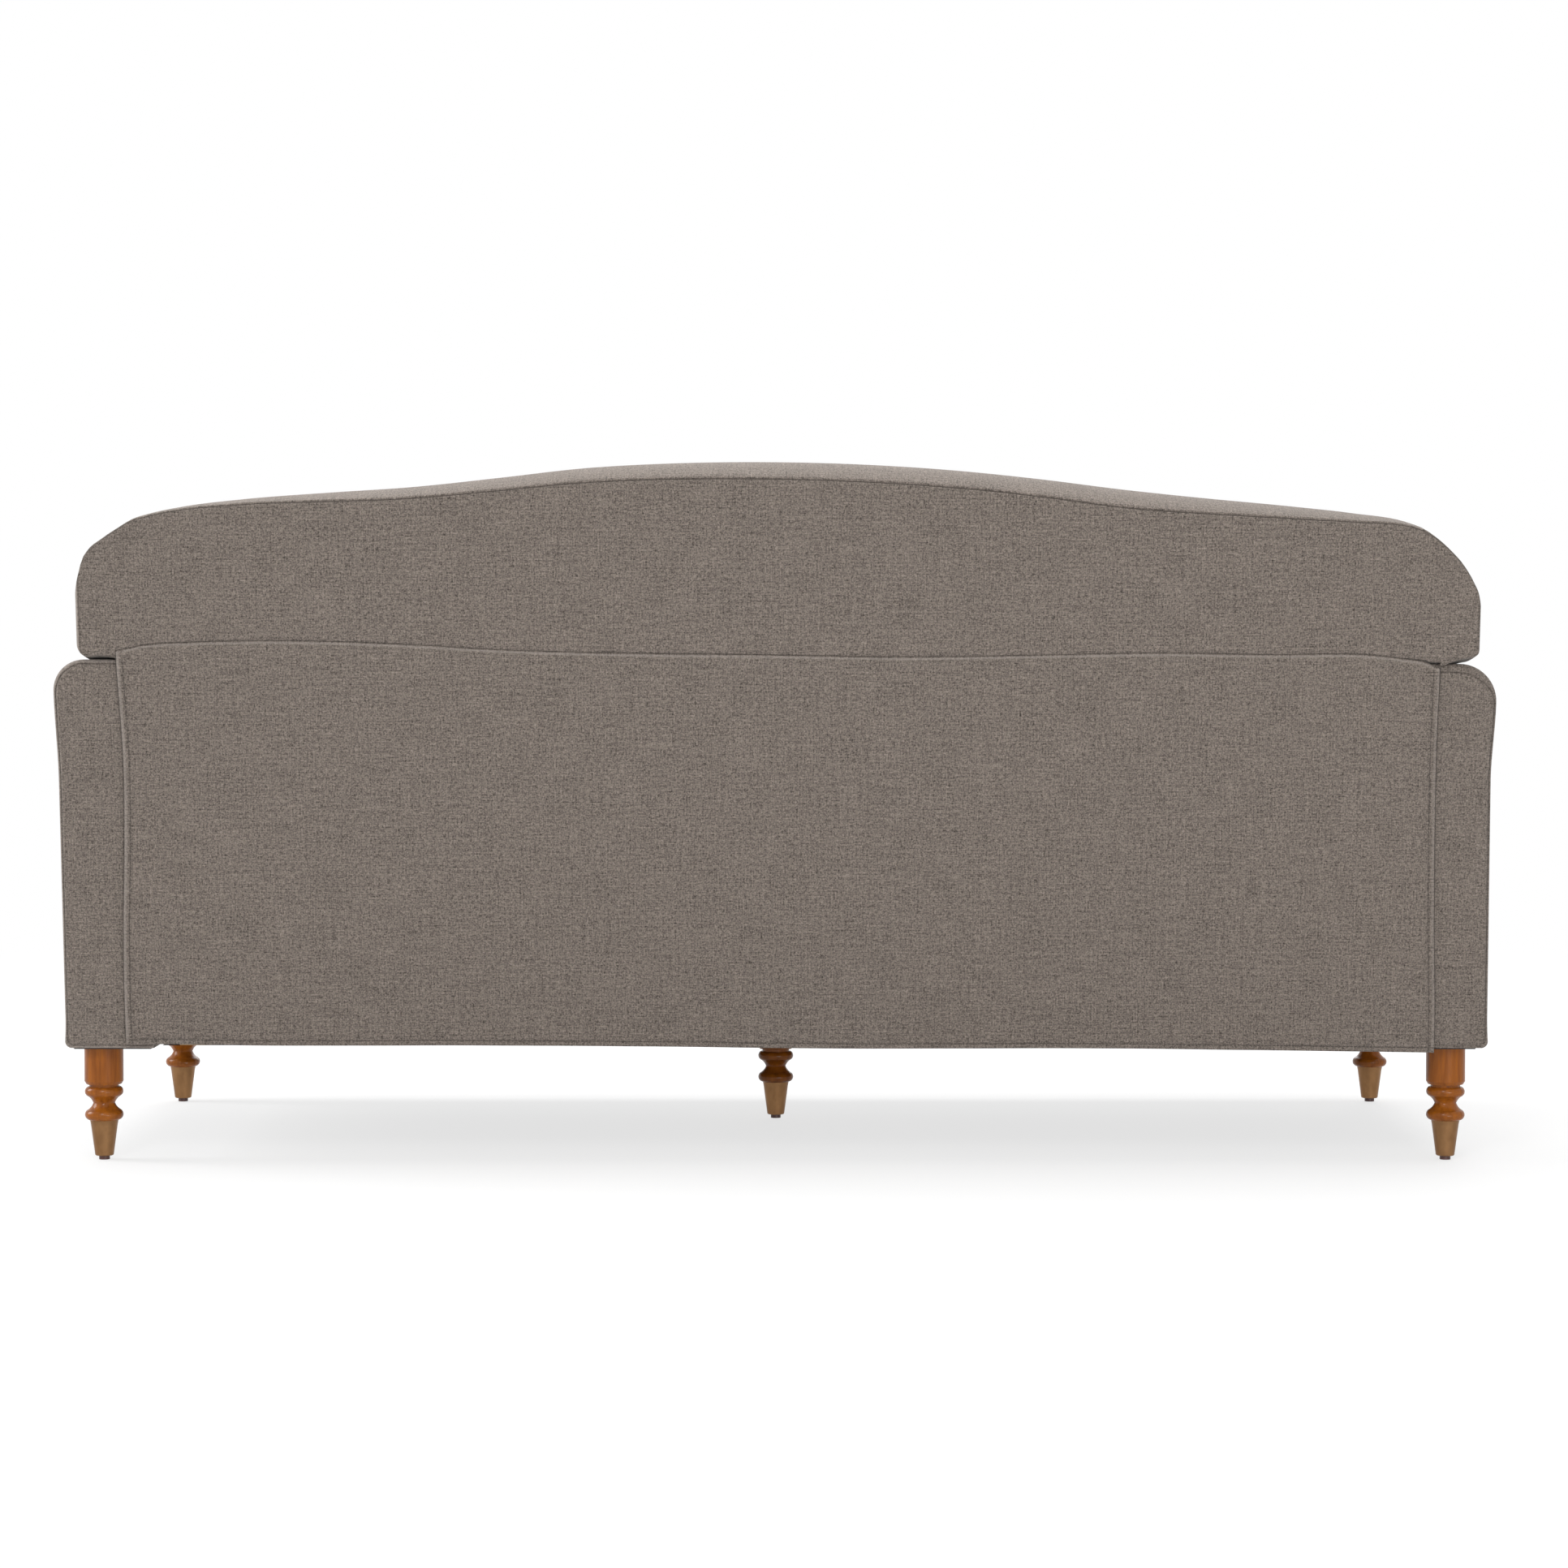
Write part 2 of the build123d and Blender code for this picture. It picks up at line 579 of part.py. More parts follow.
with BuildPart() as front_rail:
    with BuildSketch(Plane.YZ):
        with Locations(((rail_front + rail_back_front) / 2, (leg_height + rail_top) / 2)):
            Rectangle(rail_thickness, base_rail_height)
    extrude(amount=base_half, both=True)
save(front_rail.part, "front_rail")

with BuildPart() as rear_rail:
    with BuildSketch(Plane.YZ):
        with BuildLine():
            Polyline((rear_line(leg_height, base_layer), leg_height),
                     (rear_line(leg_height, strap_layer), leg_height),
                     (rear_line(rail_top, strap_layer), rail_top),
                     (rear_line(rail_top, base_layer), rail_top), close=True)
        make_face()
    extrude(amount=base_half, both=True)
    add(along_bolts(back_bolt_plane, back_bolt_spots, strap_layer, base_layer, insert_diameter + hole_gap),
        mode=Mode.SUBTRACT)
save(rear_rail.part, "rear_rail")

with BuildPart() as side_rail:
    with BuildSketch(Plane.YZ.offset(head_side)):
        with BuildLine():
            Polyline(*side_profile, close=True)
        make_face()
    extrude(amount=rail_thickness)
    add(along_bolts(arm_bolt_plane, arm_bolt_spots, head_side, base_half, bolt + hole_gap),
        mode=Mode.SUBTRACT)
save(side_rail.part, "left_side_rail")
with BuildPart() as right_side_rail:
    mirror(side_rail.part, about=Plane.YZ)
save(right_side_rail.part, "right_side_rail")

with BuildPart() as centre_rail:
    with BuildSketch(Plane.YZ):
        with BuildLine():
            Polyline((rail_back_front, sill_top), (rear_line(sill_top, base_layer), sill_top),
                     (rear_line(rail_top, base_layer), rail_top), (rail_back_front, rail_top), close=True)
        make_face()
    extrude(amount=centre_rail_thickness / 2, both=True)
save(centre_rail.part, "centre_rail")

with BuildPart() as centre_leg_block:
    with Locations((0, centre_place, leg_height)):
        Box(leg_block, leg_block, sill_height, align=(Align.CENTER, Align.CENTER, Align.MIN))
    add(seat_for_plate([leg_places["centre"]]), mode=Mode.SUBTRACT)
save(centre_leg_block.part, "centre_leg_block")

with BuildPart() as corner_blocks:
    with BuildSketch(Plane.XY.offset(leg_height + corner_block_foot)):
        with BuildLine():
            Polyline((head_side, rail_back_front), (head_side, rail_back_front + corner_block_leg),
                     (head_side - corner_block_leg, rail_back_front), close=True)
        make_face()
    extrude(amount=corner_block_height)
    with BuildSketch(Plane.XY.offset(leg_height + corner_block_foot)):
        with BuildLine():
            foot_line = rear_line(leg_height + corner_block_foot, base_layer)
            Polyline((head_side, foot_line), (head_side, foot_line - corner_block_leg),
                     (head_side - corner_block_leg, foot_line), close=True)
        make_face()
    extrude(amount=corner_block_height)
    mirror(about=Plane.YZ)
save(corner_blocks.part, "corner_blocks")

# Sinuous springs: bars across, joined by half turns, lying on the front and rear rails in clips
clip_height = wire + hole_gap + 2 * clip_wall
wire_height = rail_top + clip_height / 2
bay = head_side - centre_rail_thickness / 2
spring_places = [centre_rail_thickness / 2 + bay * (k + 0.5) / spring_count for k in range(spring_count)]
front_clip = (rail_front + rail_back_front) / 2
rear_clip = rear_line(rail_top, (strap_layer + base_layer) / 2)
bar_count = 2 * int((rear_clip - front_clip) / spring_pitch / 2) + 1
bar_pitch = (rear_clip - front_clip) / (bar_count - 1)
turn = bar_pitch / 2
reach = spring_bar / 2
with BuildPart() as spring:
    with BuildLine(Plane.XY.offset(wire_height)) as zigzag:
        for k in range(bar_count):
            way = 1 if k % 2 == 0 else -1
            y = front_clip + k * bar_pitch
            Line((-way * reach, y), (way * reach, y))
            if k < bar_count - 1:
                far = (way * (reach + turn), y + turn)
                ThreePointArc((way * reach, y), far, (way * reach, y + bar_pitch))
    with BuildSketch(Plane(origin=zigzag.line @ 0, z_dir=zigzag.line % 0)):
        Circle(wire / 2)
    sweep()
turns_long = (bar_count - 1) * pi * turn + bar_count * spring_bar
plain_volume = turns_long * pi * wire * wire / 4
print(f"spring: {spring.part.volume:.0f} mm3, section times length {plain_volume:.0f} mm3,",
      f"least gap between bars {bar_pitch - wire:.1f} mm")

with BuildPart() as seat_springs:
    for x in spring_places:
        add(spring.part.moved(Location((x, 0, 0))))
        add(spring.part.moved(Location((-x, 0, 0))))
save(seat_springs.part, "seat_springs")

with BuildPart() as spring_clips:
    clip_spots = [(s * x, y, rail_top) for x in spring_places for s in (-1, 1)
                  for y in (front_clip, rear_clip)]
    with Locations(clip_spots):
        Box(clip_width, clip_depth, clip_height, align=(Align.CENTER, Align.CENTER, Align.MIN))
    wire_spots = [(x, y, wire_height) for x, y, z in clip_spots]
    with Locations(wire_spots):
        Cylinder((wire + hole_gap) / 2, clip_width, rotation=(0, 90, 0), mode=Mode.SUBTRACT)
save(spring_clips.part, "spring_clips")

# Deck: a pad on the springs, and the cloth that covers it and hangs as the front border
pad_foot = rail_top + clip_height + fit_gap
deck_under = deck_height - cover_wall
deck_rear = rear_line(rail_top, strap_layer)
pad_front = base_front + cover_wall + fit_gap
with BuildPart() as deck_pad:
    with BuildSketch(Plane.YZ):
        with BuildLine():
            knee = deck_edge_radius - cover_wall - fit_gap
            pad_top = deck_under - fit_gap
            Polyline((pad_front, pad_top - knee), (pad_front, pad_foot), (deck_rear, pad_foot),
                     (deck_rear, pad_top), (pad_front + knee, pad_top))
            TangentArc((pad_front + knee, pad_top), (pad_front, pad_top - knee), tangent=(-1, 0))
        make_face()
    extrude(amount=base_half, both=True)
save(deck_pad.part, "deck_pad")

with BuildPart() as deck_cover:
    with BuildSketch(Plane.YZ):
        with BuildLine():
            outer_knee = (base_front + deck_edge_radius, deck_height)
            inner_knee = (base_front + deck_edge_radius, deck_under)
            inner_front = base_front + cover_wall
            Line((deck_rear, deck_height), outer_knee)
            TangentArc(outer_knee, (base_front, deck_height - deck_edge_radius), tangent=(-1, 0))
            Polyline((base_front, deck_height - deck_edge_radius), (base_front, leg_height),
                     (inner_front, leg_height), (inner_front, deck_height - deck_edge_radius))
            TangentArc((inner_front, deck_height - deck_edge_radius), inner_knee, tangent=(0, 1))
            Polyline(inner_knee, (deck_rear, deck_under), (deck_rear, deck_height))
        make_face()
    extrude(amount=base_half, both=True)
save(deck_cover.part, "deck_cover")

# Dust covers: one sheet under the seat base, one under each arm, open round the legs
sheet_rear = rear_line(leg_height, rail_layer) - dust_margin
leg_hole = leg_diameter / 2 + dust_margin
with BuildPart() as dust_covers:
    with BuildSketch(Plane.XY.offset(leg_height - dust_sheet)):
        sheet_front = base_front + dust_margin
        with Locations((0, (sheet_front + sheet_rear) / 2)):
            Rectangle(2 * (base_half - dust_margin), sheet_rear - sheet_front)
        arm_sheet_front = arm_front + dust_margin
        for side in (-1, 1):
            with Locations((side * (arm_inner + arm_side) / 2, (arm_sheet_front + sheet_rear) / 2)):
                Rectangle(arm_side - arm_inner - 2 * dust_margin, sheet_rear - arm_sheet_front)
        with Locations(list(leg_places.values())):
            Circle(leg_hole, mode=Mode.SUBTRACT)
    extrude(amount=dust_sheet)
save(dust_covers.part, "dust_covers")

# Back frame: posts behind the padding, rails on the rear of the posts
tack_rail_foot = seam + tack_rail_over_seam - tack_rail_height
frame_inset = cover_wall + fit_gap + back_wrap
top_rail_foot = (wing_height + top_rail_share * wing_rise - leg_height) / cos(rake)
room_at_crest = (crest_height - crest_crown - frame_inset - leg_height) / cos(rake)
room_at_shoulder = (shoulder_height - shoulder_crown - frame_inset - leg_height) / cos(rake)
strap_pitch = (room_at_shoulder - strap_head_clear - strap_width - strap_foot) / (strap_count - 1)
rail_outline = back_section(0.0, 0, deck_height, 0, frame_inset + fit_gap)
rail_half = outer_post + post_width / 2 - rail_lap


def back_board(layer, thickness, low_left, high_right):
    # A plain board of the back frame, between two corners on the slope
    width, height = high_right[0] - low_left[0], high_right[1] - low_left[1]
    with BuildPart() as board:
        with BuildSketch(rear_plane(layer)):
            with Locations((low_left[0] + width / 2, low_left[1] + height / 2)):
                Rectangle(width, height)
        extrude(amount=-thickness)
    return board.part


post_holes = along_bolts(back_bolt_plane, back_bolt_spots, post_layer, strap_layer, bolt + hole_gap)
posts = {"right_back_post": outer_post, "centre_back_post": 0.0, "left_back_post": -outer_post}
for name, middle in posts.items():
    post_top = room_at_crest - centre_post_short if middle == 0 else room_at_shoulder - outer_post_short
    corners = (middle - post_width / 2, bottom_rail_foot), (middle + post_width / 2, post_top)
    with BuildPart() as post:
        add(back_board(post_layer, post_thickness, *corners))
        add(post_holes, mode=Mode.SUBTRACT)
    save(post.part, name)

rails = {
    "back_tack_rail": (tack_rail_foot, tack_rail_height),
    "back_lower_rail": (lower_rail_foot, lower_rail_height),
    "back_bottom_rail": (bottom_rail_foot, bottom_rail_height),
}
for name, (foot, height) in rails.items():
    save(back_board(rail_layer, rail_thickness, (-rail_half, foot), (rail_half, foot + height)), name)

wing_board_foot = (wing_height + frame_inset + fit_gap - leg_height) / cos(rake)
wing_board_end = wing_half - wing_board_clear
wing_board_start = rail_half + side_gap
wing_boards = {
    "right_wing_board": ((wing_board_start, wing_board_foot), (wing_board_end, top_rail_foot)),
    "left_wing_board": ((-wing_board_end, wing_board_foot), (-wing_board_start, top_rail_foot)),
}
for name, corners in wing_boards.items():
    with BuildPart() as board:
        add(back_board(rail_layer, rail_thickness, *corners))
        add(extrude(rail_outline, amount=-post_layer, mode=Mode.PRIVATE), mode=Mode.INTERSECT)
    save(board.part, name)

with BuildPart() as back_top_rail:
    add(extrude(rail_outline, amount=-post_layer, mode=Mode.PRIVATE))
    split(bisect_by=rear_plane(rail_layer), keep=Keep.BOTTOM)
    foot_middle = rear_plane(0).from_local_coords((0, top_rail_foot, 0))
    split(bisect_by=Plane(origin=foot_middle, z_dir=rear_plane(0).y_dir), keep=Keep.TOP)
save(back_top_rail.part, "back_top_rail")

with BuildPart() as back_webbing:
    with BuildSketch(rear_plane(strap_layer)):
        with Locations([(0, strap_foot + strap_width / 2 + k * strap_pitch) for k in range(strap_count)]):
            Rectangle(2 * (outer_post + post_width / 2), strap_width)
    extrude(amount=-strap_thickness)
save(back_webbing.part, "back_webbing")

# Back padding and cover
back_foot = deck_height + fit_gap
with BuildPart() as frame_room:
    # Hollow behind the padding: the back's outline less the foam over its edges, and all of the lower back
    extrude(back_section(0.0, 0, leg_height, 0, frame_inset), amount=-foam_layer)
    with BuildSketch(rear_plane(foam_layer)):
        with Locations((0, wing_board_foot / 2)):
            Rectangle(2 * base_half, wing_board_foot)
    extrude(amount=foam_layer)

with BuildPart() as back_pad:
    add(back_block(cover_wall + fit_gap, back_foot))
    add(frame_room.part, mode=Mode.SUBTRACT)
save(back_pad.part, "back_pad")

with BuildPart() as back_cover:
    add(back_block(0, back_foot))
    add(back_block(cover_wall, leg_height), mode=Mode.SUBTRACT)
    with BuildSketch(rear_plane(foam_layer)):
        with Locations((0, seam / 2)):
            Rectangle(2 * base_half, seam + fit_gap)
    extrude(amount=foam_layer, mode=Mode.SUBTRACT)
    with BuildSketch(rear_plane(cover_wall + fit_gap)):
        with Locations((0, seam / 2)):
            Rectangle(2 * (flap_half + side_gap), seam + fit_gap)
    extrude(amount=cover_wall + fit_gap, mode=Mode.SUBTRACT)
save(back_cover.part, "back_cover")

# Rear flap: one hemmed sheet under its seam, with loop tape inside it and hook tape facing that
side_tape = flap_half - hem_width - tape_margin - tape_width / 2
tape_rise = seam - tape_head - tape_foot
with BuildPart() as rear_flap:
    with BuildSketch(rear_plane(0)):
        with Locations((0, seam / 2)):
            Rectangle(2 * flap_half, seam)
    extrude(amount=-flap_thickness)
    with BuildSketch(rear_plane(0)):
        with Locations((0, (seam - hem_head) / 2)):
            Rectangle(2 * flap_half, seam - hem_head)
        with Locations((0, (seam + hem_width) / 2)):
            Rectangle(2 * (flap_half - hem_width), seam - hem_width, mode=Mode.SUBTRACT)
    extrude(amount=hem_thickness)
save(rear_flap.part, "rear_flap")

for name, layer in (("loop_tape", loop_layer), ("hook_tape", hook_layer)):
    with BuildPart() as tape:
        with BuildSketch(rear_plane(layer)):
            with Locations((-side_tape, tape_foot + tape_rise / 2), (side_tape, tape_foot + tape_rise / 2)):
                Rectangle(tape_width, tape_rise)
            with Locations((0, tape_foot + tape_width / 2)):
                Rectangle(2 * rail_half, tape_width)
        extrude(amount=-tape_thickness)
    save(tape.part, name)

# Seat cushions: a foam core in a cloth cover, the left one made and then mirrored
with BuildPart() as cushion_cover:
    add(cushion_block(0))
    add(cushion_block(cushion_wall), mode=Mode.SUBTRACT)

with BuildPart() as cushion_core:
    add(cushion_block(cushion_wall + fit_gap))

for name, piece in (("cushion_cover", cushion_cover), ("cushion_core", cushion_core)):
    save(piece.part, f"left_{name}")
    with BuildPart() as other_side:
        mirror(piece.part, about=Plane.YZ)
    save(other_side.part, f"right_{name}")
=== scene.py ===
import math
import bmesh
import bpy
import numpy as np
from mathutils import Matrix, Vector


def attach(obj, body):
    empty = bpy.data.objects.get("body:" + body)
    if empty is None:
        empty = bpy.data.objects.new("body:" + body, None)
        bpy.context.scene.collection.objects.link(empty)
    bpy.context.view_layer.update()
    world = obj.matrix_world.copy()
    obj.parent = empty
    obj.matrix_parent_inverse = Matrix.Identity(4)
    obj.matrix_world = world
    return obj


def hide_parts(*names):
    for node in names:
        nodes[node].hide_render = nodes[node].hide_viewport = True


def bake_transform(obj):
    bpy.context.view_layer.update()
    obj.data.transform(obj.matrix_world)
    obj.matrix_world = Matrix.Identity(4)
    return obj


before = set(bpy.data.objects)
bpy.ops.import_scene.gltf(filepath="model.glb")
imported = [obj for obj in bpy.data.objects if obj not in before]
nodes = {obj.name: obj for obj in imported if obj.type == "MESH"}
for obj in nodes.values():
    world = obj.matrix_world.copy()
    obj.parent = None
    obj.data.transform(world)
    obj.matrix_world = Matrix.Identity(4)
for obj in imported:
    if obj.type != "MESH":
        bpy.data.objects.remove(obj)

scene = bpy.context.scene
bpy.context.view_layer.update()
print("frame loaded:", len(nodes), "nodes")

# outside back: a plane that leans 7.7 degrees, through this line at the underside of the frame
lean = {"angle": math.radians(7.7), "heelY": 0.3263, "heelZ": 0.15}
outward = np.array([0.0, math.cos(lean["angle"]), -math.sin(lean["angle"])])
upSlope = np.array([0.0, math.sin(lean["angle"]), math.cos(lean["angle"])])


def rearY(z, layer=0.0):
    # y of a layer of the outside back at a height: heel + rise * tan(lean) - layer / cos(lean)
    return lean["heelY"] + (z - lean["heelZ"]) * math.tan(lean["angle"]) - layer / math.cos(lean["angle"])


def ease(t):
    # 0 before 0, 1 after 1, 3t^2 - 2t^3 between
    t = np.clip(t, 0.0, 1.0)
    return t * t * (3 - 2 * t)


def through(x, keys):
    # cubic Hermite curve through (place, value) keys, slopes from the neighbours
    place, value = np.array(keys, float).T
    slope = np.gradient(value, place)
    i = np.clip(np.searchsorted(place, x) - 1, 0, len(place) - 2)
    h = place[i + 1] - place[i]
    t = np.clip((x - place[i]) / h, 0.0, 1.0)
    start = (1 + 2 * t) * (1 - t) ** 2 * value[i] + t * (1 - t) ** 2 * h * slope[i]
    return start + t * t * (3 - 2 * t) * value[i + 1] + t * t * (t - 1) * h * slope[i + 1]


def packed(count, power=2.0):
    # 0 to 1, closer together towards both ends
    t = np.linspace(-1.0, 1.0, count)
    return 0.5 + 0.5 * np.sign(t) * (1 - (1 - np.abs(t)) ** power)


def runLength(points, axis):
    # distance travelled along one parameter of a grid
    step = np.linalg.norm(np.diff(points, axis=axis), axis=-1)
    first = np.zeros_like(np.take(step, [0], axis=axis))
    return np.concatenate([first, np.cumsum(step, axis=axis)], axis=axis)


def joined(*parts):
    # the parts, stretched to one shape, side by side on the last axis: points (x, y, z) or pairs
    return np.stack(np.broadcast_arrays(*parts), -1)


def bell(away, half):
    return np.exp(-(away / half) ** 2)


def rounded(d, edge):
    # quarter round: 0 at the rim, 1 from edge inwards
    return np.sqrt(1 - (1 - np.clip(d / edge, 0, 1)) ** 2)


def flatOn(grids, *axes):
    # grids with two of their own axes as the UV map
    return [(grid, grid[..., list(axes)]) for grid in grids]


def rims(a, b):
    # strips that close the four edges between two grids
    return [np.stack([a[e], b[e]]) for e in (0, -1)] + [np.stack([a[:, e], b[:, e]]) for e in (0, -1)]


def weldGrids(name, grids, material, weld=2e-5, least=1e-6):
    # a grid is (points[i, j], flat[i, j]) and, optionally, a grid of painted light: painted shade in the
    # seams above 0, painted highlight on the folded edges below 0
    verts, faces, flats, paintedShades, start = [], [], [], [], 0
    for points, flat, *paintedShade in grids:
        rows, cols = points.shape[:2]
        index = start + np.arange(rows * cols).reshape(rows, cols)
        corners = [index[:-1, :-1], index[1:, :-1], index[1:, 1:], index[:-1, 1:]]
        faces.append(np.stack(corners, -1).reshape(-1, 4))
        verts.append(points.reshape(-1, 3))
        flats.append(flat.reshape(-1, 2))
        paintedShades.append(np.broadcast_to(paintedShade[0] if paintedShade else 0.0, (rows, cols)).ravel())
        start += rows * cols
    verts, faces, flats = np.concatenate(verts), np.concatenate(faces), np.concatenate(flats)
    mesh = bpy.data.meshes.new(name)
    mesh.from_pydata(verts.tolist(), [], faces.tolist())
    layer = mesh.uv_layers.new(name="weave")
    layer.data.foreach_set("uv", flats[faces.ravel()].astype(np.float32).ravel())
    # a point attribute that carries the painted shade and the painted highlight to the cloth material
    shade = mesh.attributes.new("paintedShade", "FLOAT", "POINT")
    shade.data.foreach_set("value", np.concatenate(paintedShades).astype(np.float32))
    work = bmesh.new()
    work.from_mesh(mesh)
    bmesh.ops.remove_doubles(work, verts=work.verts, dist=weld)
    bmesh.ops.dissolve_degenerate(work, edges=work.edges, dist=least)
    bmesh.ops.recalc_face_normals(work, faces=work.faces)
    work.to_mesh(mesh)
    work.free()
    mesh.polygons.foreach_set("use_smooth", np.ones(len(mesh.polygons), bool))
    mesh.materials.append(material)
    mesh.update()
    piece = bpy.data.objects.new(name, mesh)
    scene.collection.objects.link(piece)
    return piece


def dress(piece, body, hides=()):
    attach(piece, body)
    if hides:
        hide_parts(*hides)
    print("piece", piece.name, len(piece.data.polygons), "faces")
    return piece


# materials
def paint(name, onMap=False):
    # a material, its shader, and what its pattern lies on: the UV map or Object coordinates
    material = bpy.data.materials.new(name)
    material.use_nodes = True
    tree = material.node_tree
    if onMap:
        coord = put(tree, "UVMap", {"uv_map": "weave"}).outputs[0]
    else:
        coord = put(tree, "TexCoord").outputs["Object"]
    return material, tree.nodes["Principled BSDF"], coord


def wire(node, **inputs):
    # sockets by name, with underscores for spaces, or by n and a number; a socket links, a value is set;
    # id_data is the tree that a node or socket belongs to
    for key, value in inputs.items():
        byNumber = key[0] == "n" and key[1:].isdigit()
        socket = node.inputs[int(key[1:]) if byNumber else key.replace("_", " ")]
        if isinstance(value, bpy.types.NodeSocket):
            node.id_data.links.new(value, socket)
        else:
            socket.default_value = value
    return node


def put(tree, kind, settings=None, **inputs):
    made = tree.nodes.new("ShaderNode" + kind)
    for key, value in (settings or {}).items():
        setattr(made, key, value)
    return wire(made, **inputs)


def stretched(coord, size, shift=(0, 0, 0), detail=2.0, rough=0.55, twist=0.0):
    # noise whose grain measures size = (x, y, z) in metres
    scale = tuple(1.0 / s for s in size)
    mapped = put(coord.id_data, "Mapping", Vector=coord, Scale=scale, Location=shift).outputs[0]
    return put(coord.id_data, "TexNoise", Vector=mapped, Scale=1.0, Detail=detail, Roughness=rough,
               Distortion=twist).outputs[0]


def between(value, low, high, toLow=0.0, toHigh=1.0):
    # low to high carried to toLow to toHigh
    return put(value.id_data, "MapRange", {"clamp": True}, Value=value, n1=low, n2=high, n3=toLow,
               n4=toHigh).outputs[0]


def blendColour(factor, a, b):
    return put(factor.id_data, "Mix", {"data_type": "RGBA"}, n0=factor, n6=a, n7=b).outputs[2]


def combine(kind, a, b):
    return put(a.id_data, "Math", {"operation": kind}, n0=a, n1=b).outputs[0]


def bumped(height, distance, strength):
    return put(height.id_data, "Bump", Height=height, Distance=distance, Strength=strength).outputs[0]


def waves(coord, way, length):
    # bands of one length, in metres, across the way X or Y
    scale = 2 * math.pi / (20 * length)
    return put(coord.id_data, "TexWave", {"bands_direction": way}, Vector=coord, Scale=scale,
               Distortion=0.0).outputs[1]


cushionSeams = (0.313, 0.45)  # heights of the cushions' sewn lines
linenLook = {
    # the painted shade colour for seams and grooves, and the painted highlight colour for folded edges that
    # catch the light
    "base": (0.1555, 0.1312, 0.1135), "paintedShade": (0.034, 0.028, 0.024, 1), "fold": (0.345, 0.305, 0.275, 1),
    # grain holds the size and weight of each noise
    "grain": [((0.0019, 0.0019, 1), 2.6), ((0.0065, 0.0022, 1), 1.35), ((0.0022, 0.0065, 1), 1.35),
              ((0.06, 0.0023, 1), 0.8), ((0.0023, 0.06, 1), 0.68), ((0.035, 0.035, 1), 0.2)],
    "grainRange": (-0.8, 0.8, 0.2, 1.8), "thread": 0.0022, "threadShare": 0.5, "bump": (0.0004, 0.6),
    # seamWide and seamDark: the band of painted shade along the cushions' sewn lines
    "upright": (0.94, 0.86), "seamWide": (0.0016, 0.0004), "seamDark": 0.85, "roughness": 0.9,
    "specular": 0.15, "sheen": 0.18, "sheenRough": 0.45, "sheenTint": (0.95, 0.91, 0.87, 1),
}


def linenCloth(name, look, seams=()):
    # plain weave on the UV map, in metres: 1 + sum of weight * (noise - 0.5) over specks, slubs and threads
    material, shader, coord = paint(name, True)
    tree, grain = coord.id_data, None
    for k, (size, weight) in enumerate(look["grain"]):
        noise = stretched(coord, size, (3.1 * k + 1.7, 17.7 - 2.3 * k, 0), 2.0, 0.6)
        part = combine("MULTIPLY", combine("SUBTRACT", noise, 0.5), weight)
        grain = part if grain is None else combine("ADD", grain, part)
    level = between(grain, *look["grainRange"])
    tone = put(tree, "VectorMath", {"operation": "SCALE"}, n0=look["base"], Scale=level)
    # the point attribute: painted shade above 0, painted highlight below 0
    paintedShade = put(tree, "Attribute", {"attribute_name": "paintedShade"}).outputs["Fac"]
    if seams:
        # painted shade of the sewn lines at these heights on the upright sides
        spot = put(tree, "TexCoord").outputs
        place = put(tree, "SeparateXYZ", Vector=spot["Object"]).outputs[2]
        facing = put(tree, "SeparateXYZ", Vector=spot["Normal"]).outputs[2]
        upright = between(combine("ABSOLUTE", facing, 0.0), *look["upright"])
        for z in seams:
            away = combine("ABSOLUTE", combine("SUBTRACT", place, z), 0.0)
            line = combine("MULTIPLY", between(away, *look["seamWide"]), upright)
            paintedShade = combine("MAXIMUM", paintedShade, combine("MULTIPLY", line, look["seamDark"]))
    # mixed towards the painted highlight colour below 0 and towards the painted shade colour above 0
    folded = blendColour(between(paintedShade, 0.0, -1.0), tone.outputs[0], look["fold"])
    colour = blendColour(between(paintedShade, 0.0, 1.0), folded, look["paintedShade"])
    crossing = combine("MULTIPLY", *(waves(coord, way, look["thread"]) for way in "XY"))
    height = combine("ADD", combine("MULTIPLY", crossing, look["threadShare"]), grain)
    wire(shader, Base_Color=colour, Normal=bumped(height, *look["bump"]),
         Roughness=look["roughness"], Specular_IOR_Level=look["specular"], Sheen_Weight=look["sheen"],
         Sheen_Roughness=look["sheenRough"], Sheen_Tint=look["sheenTint"])
    return material


def grainedWood(name, pale, dark, fibre, roughness, coat):
    # fibres stretched along one axis of the Object coordinates, with wider growth bands and pores
    material, shader, coord = paint(name)
    fibres = stretched(coord, fibre, (1, 5, 2), 4.0, 0.6)
    bands = stretched(coord, tuple(4.5 * s for s in fibre), (8, 3, 4), 2.0, 0.5, 0.6)
    pores = stretched(coord, tuple(0.35 * s for s in fibre), (2, 2, 9), 1.0)
    mixed = blendColour(between(fibres, 0.3, 0.7), dark, pale)
    banded = blendColour(between(bands, 0.45, 0.75, 0.0, 0.45), mixed, dark)
    wire(shader, Base_Color=banded,
         Roughness=between(fibres, 0.2, 0.8, roughness + 0.08, roughness - 0.06),
         Normal=bumped(combine("ADD", fibres, pores), 0.0002, 0.35),
         Coat_Weight=coat, Coat_Roughness=0.08, Specular_IOR_Level=0.08 if coat else 0.3)
    return material


def metal(name, tone, shade, roughness, brush):
    # brushed or plated metal: streaks along one axis, cloudy tarnish
    material, shader, coord = paint(name)
    streak = stretched(coord, brush, (4, 1, 1), 3.0)
    tarnish = stretched(coord, (0.012, 0.012, 0.02), (1, 9, 3), 3.0)
    wire(shader, Base_Color=blendColour(between(tarnish, 0.35, 0.7), tone, shade),
         Roughness=between(streak, 0.2, 0.8, roughness - 0.06, roughness + 0.1),
         Normal=bumped(streak, 0.00008, 0.4), Metallic=1.0)
    return material


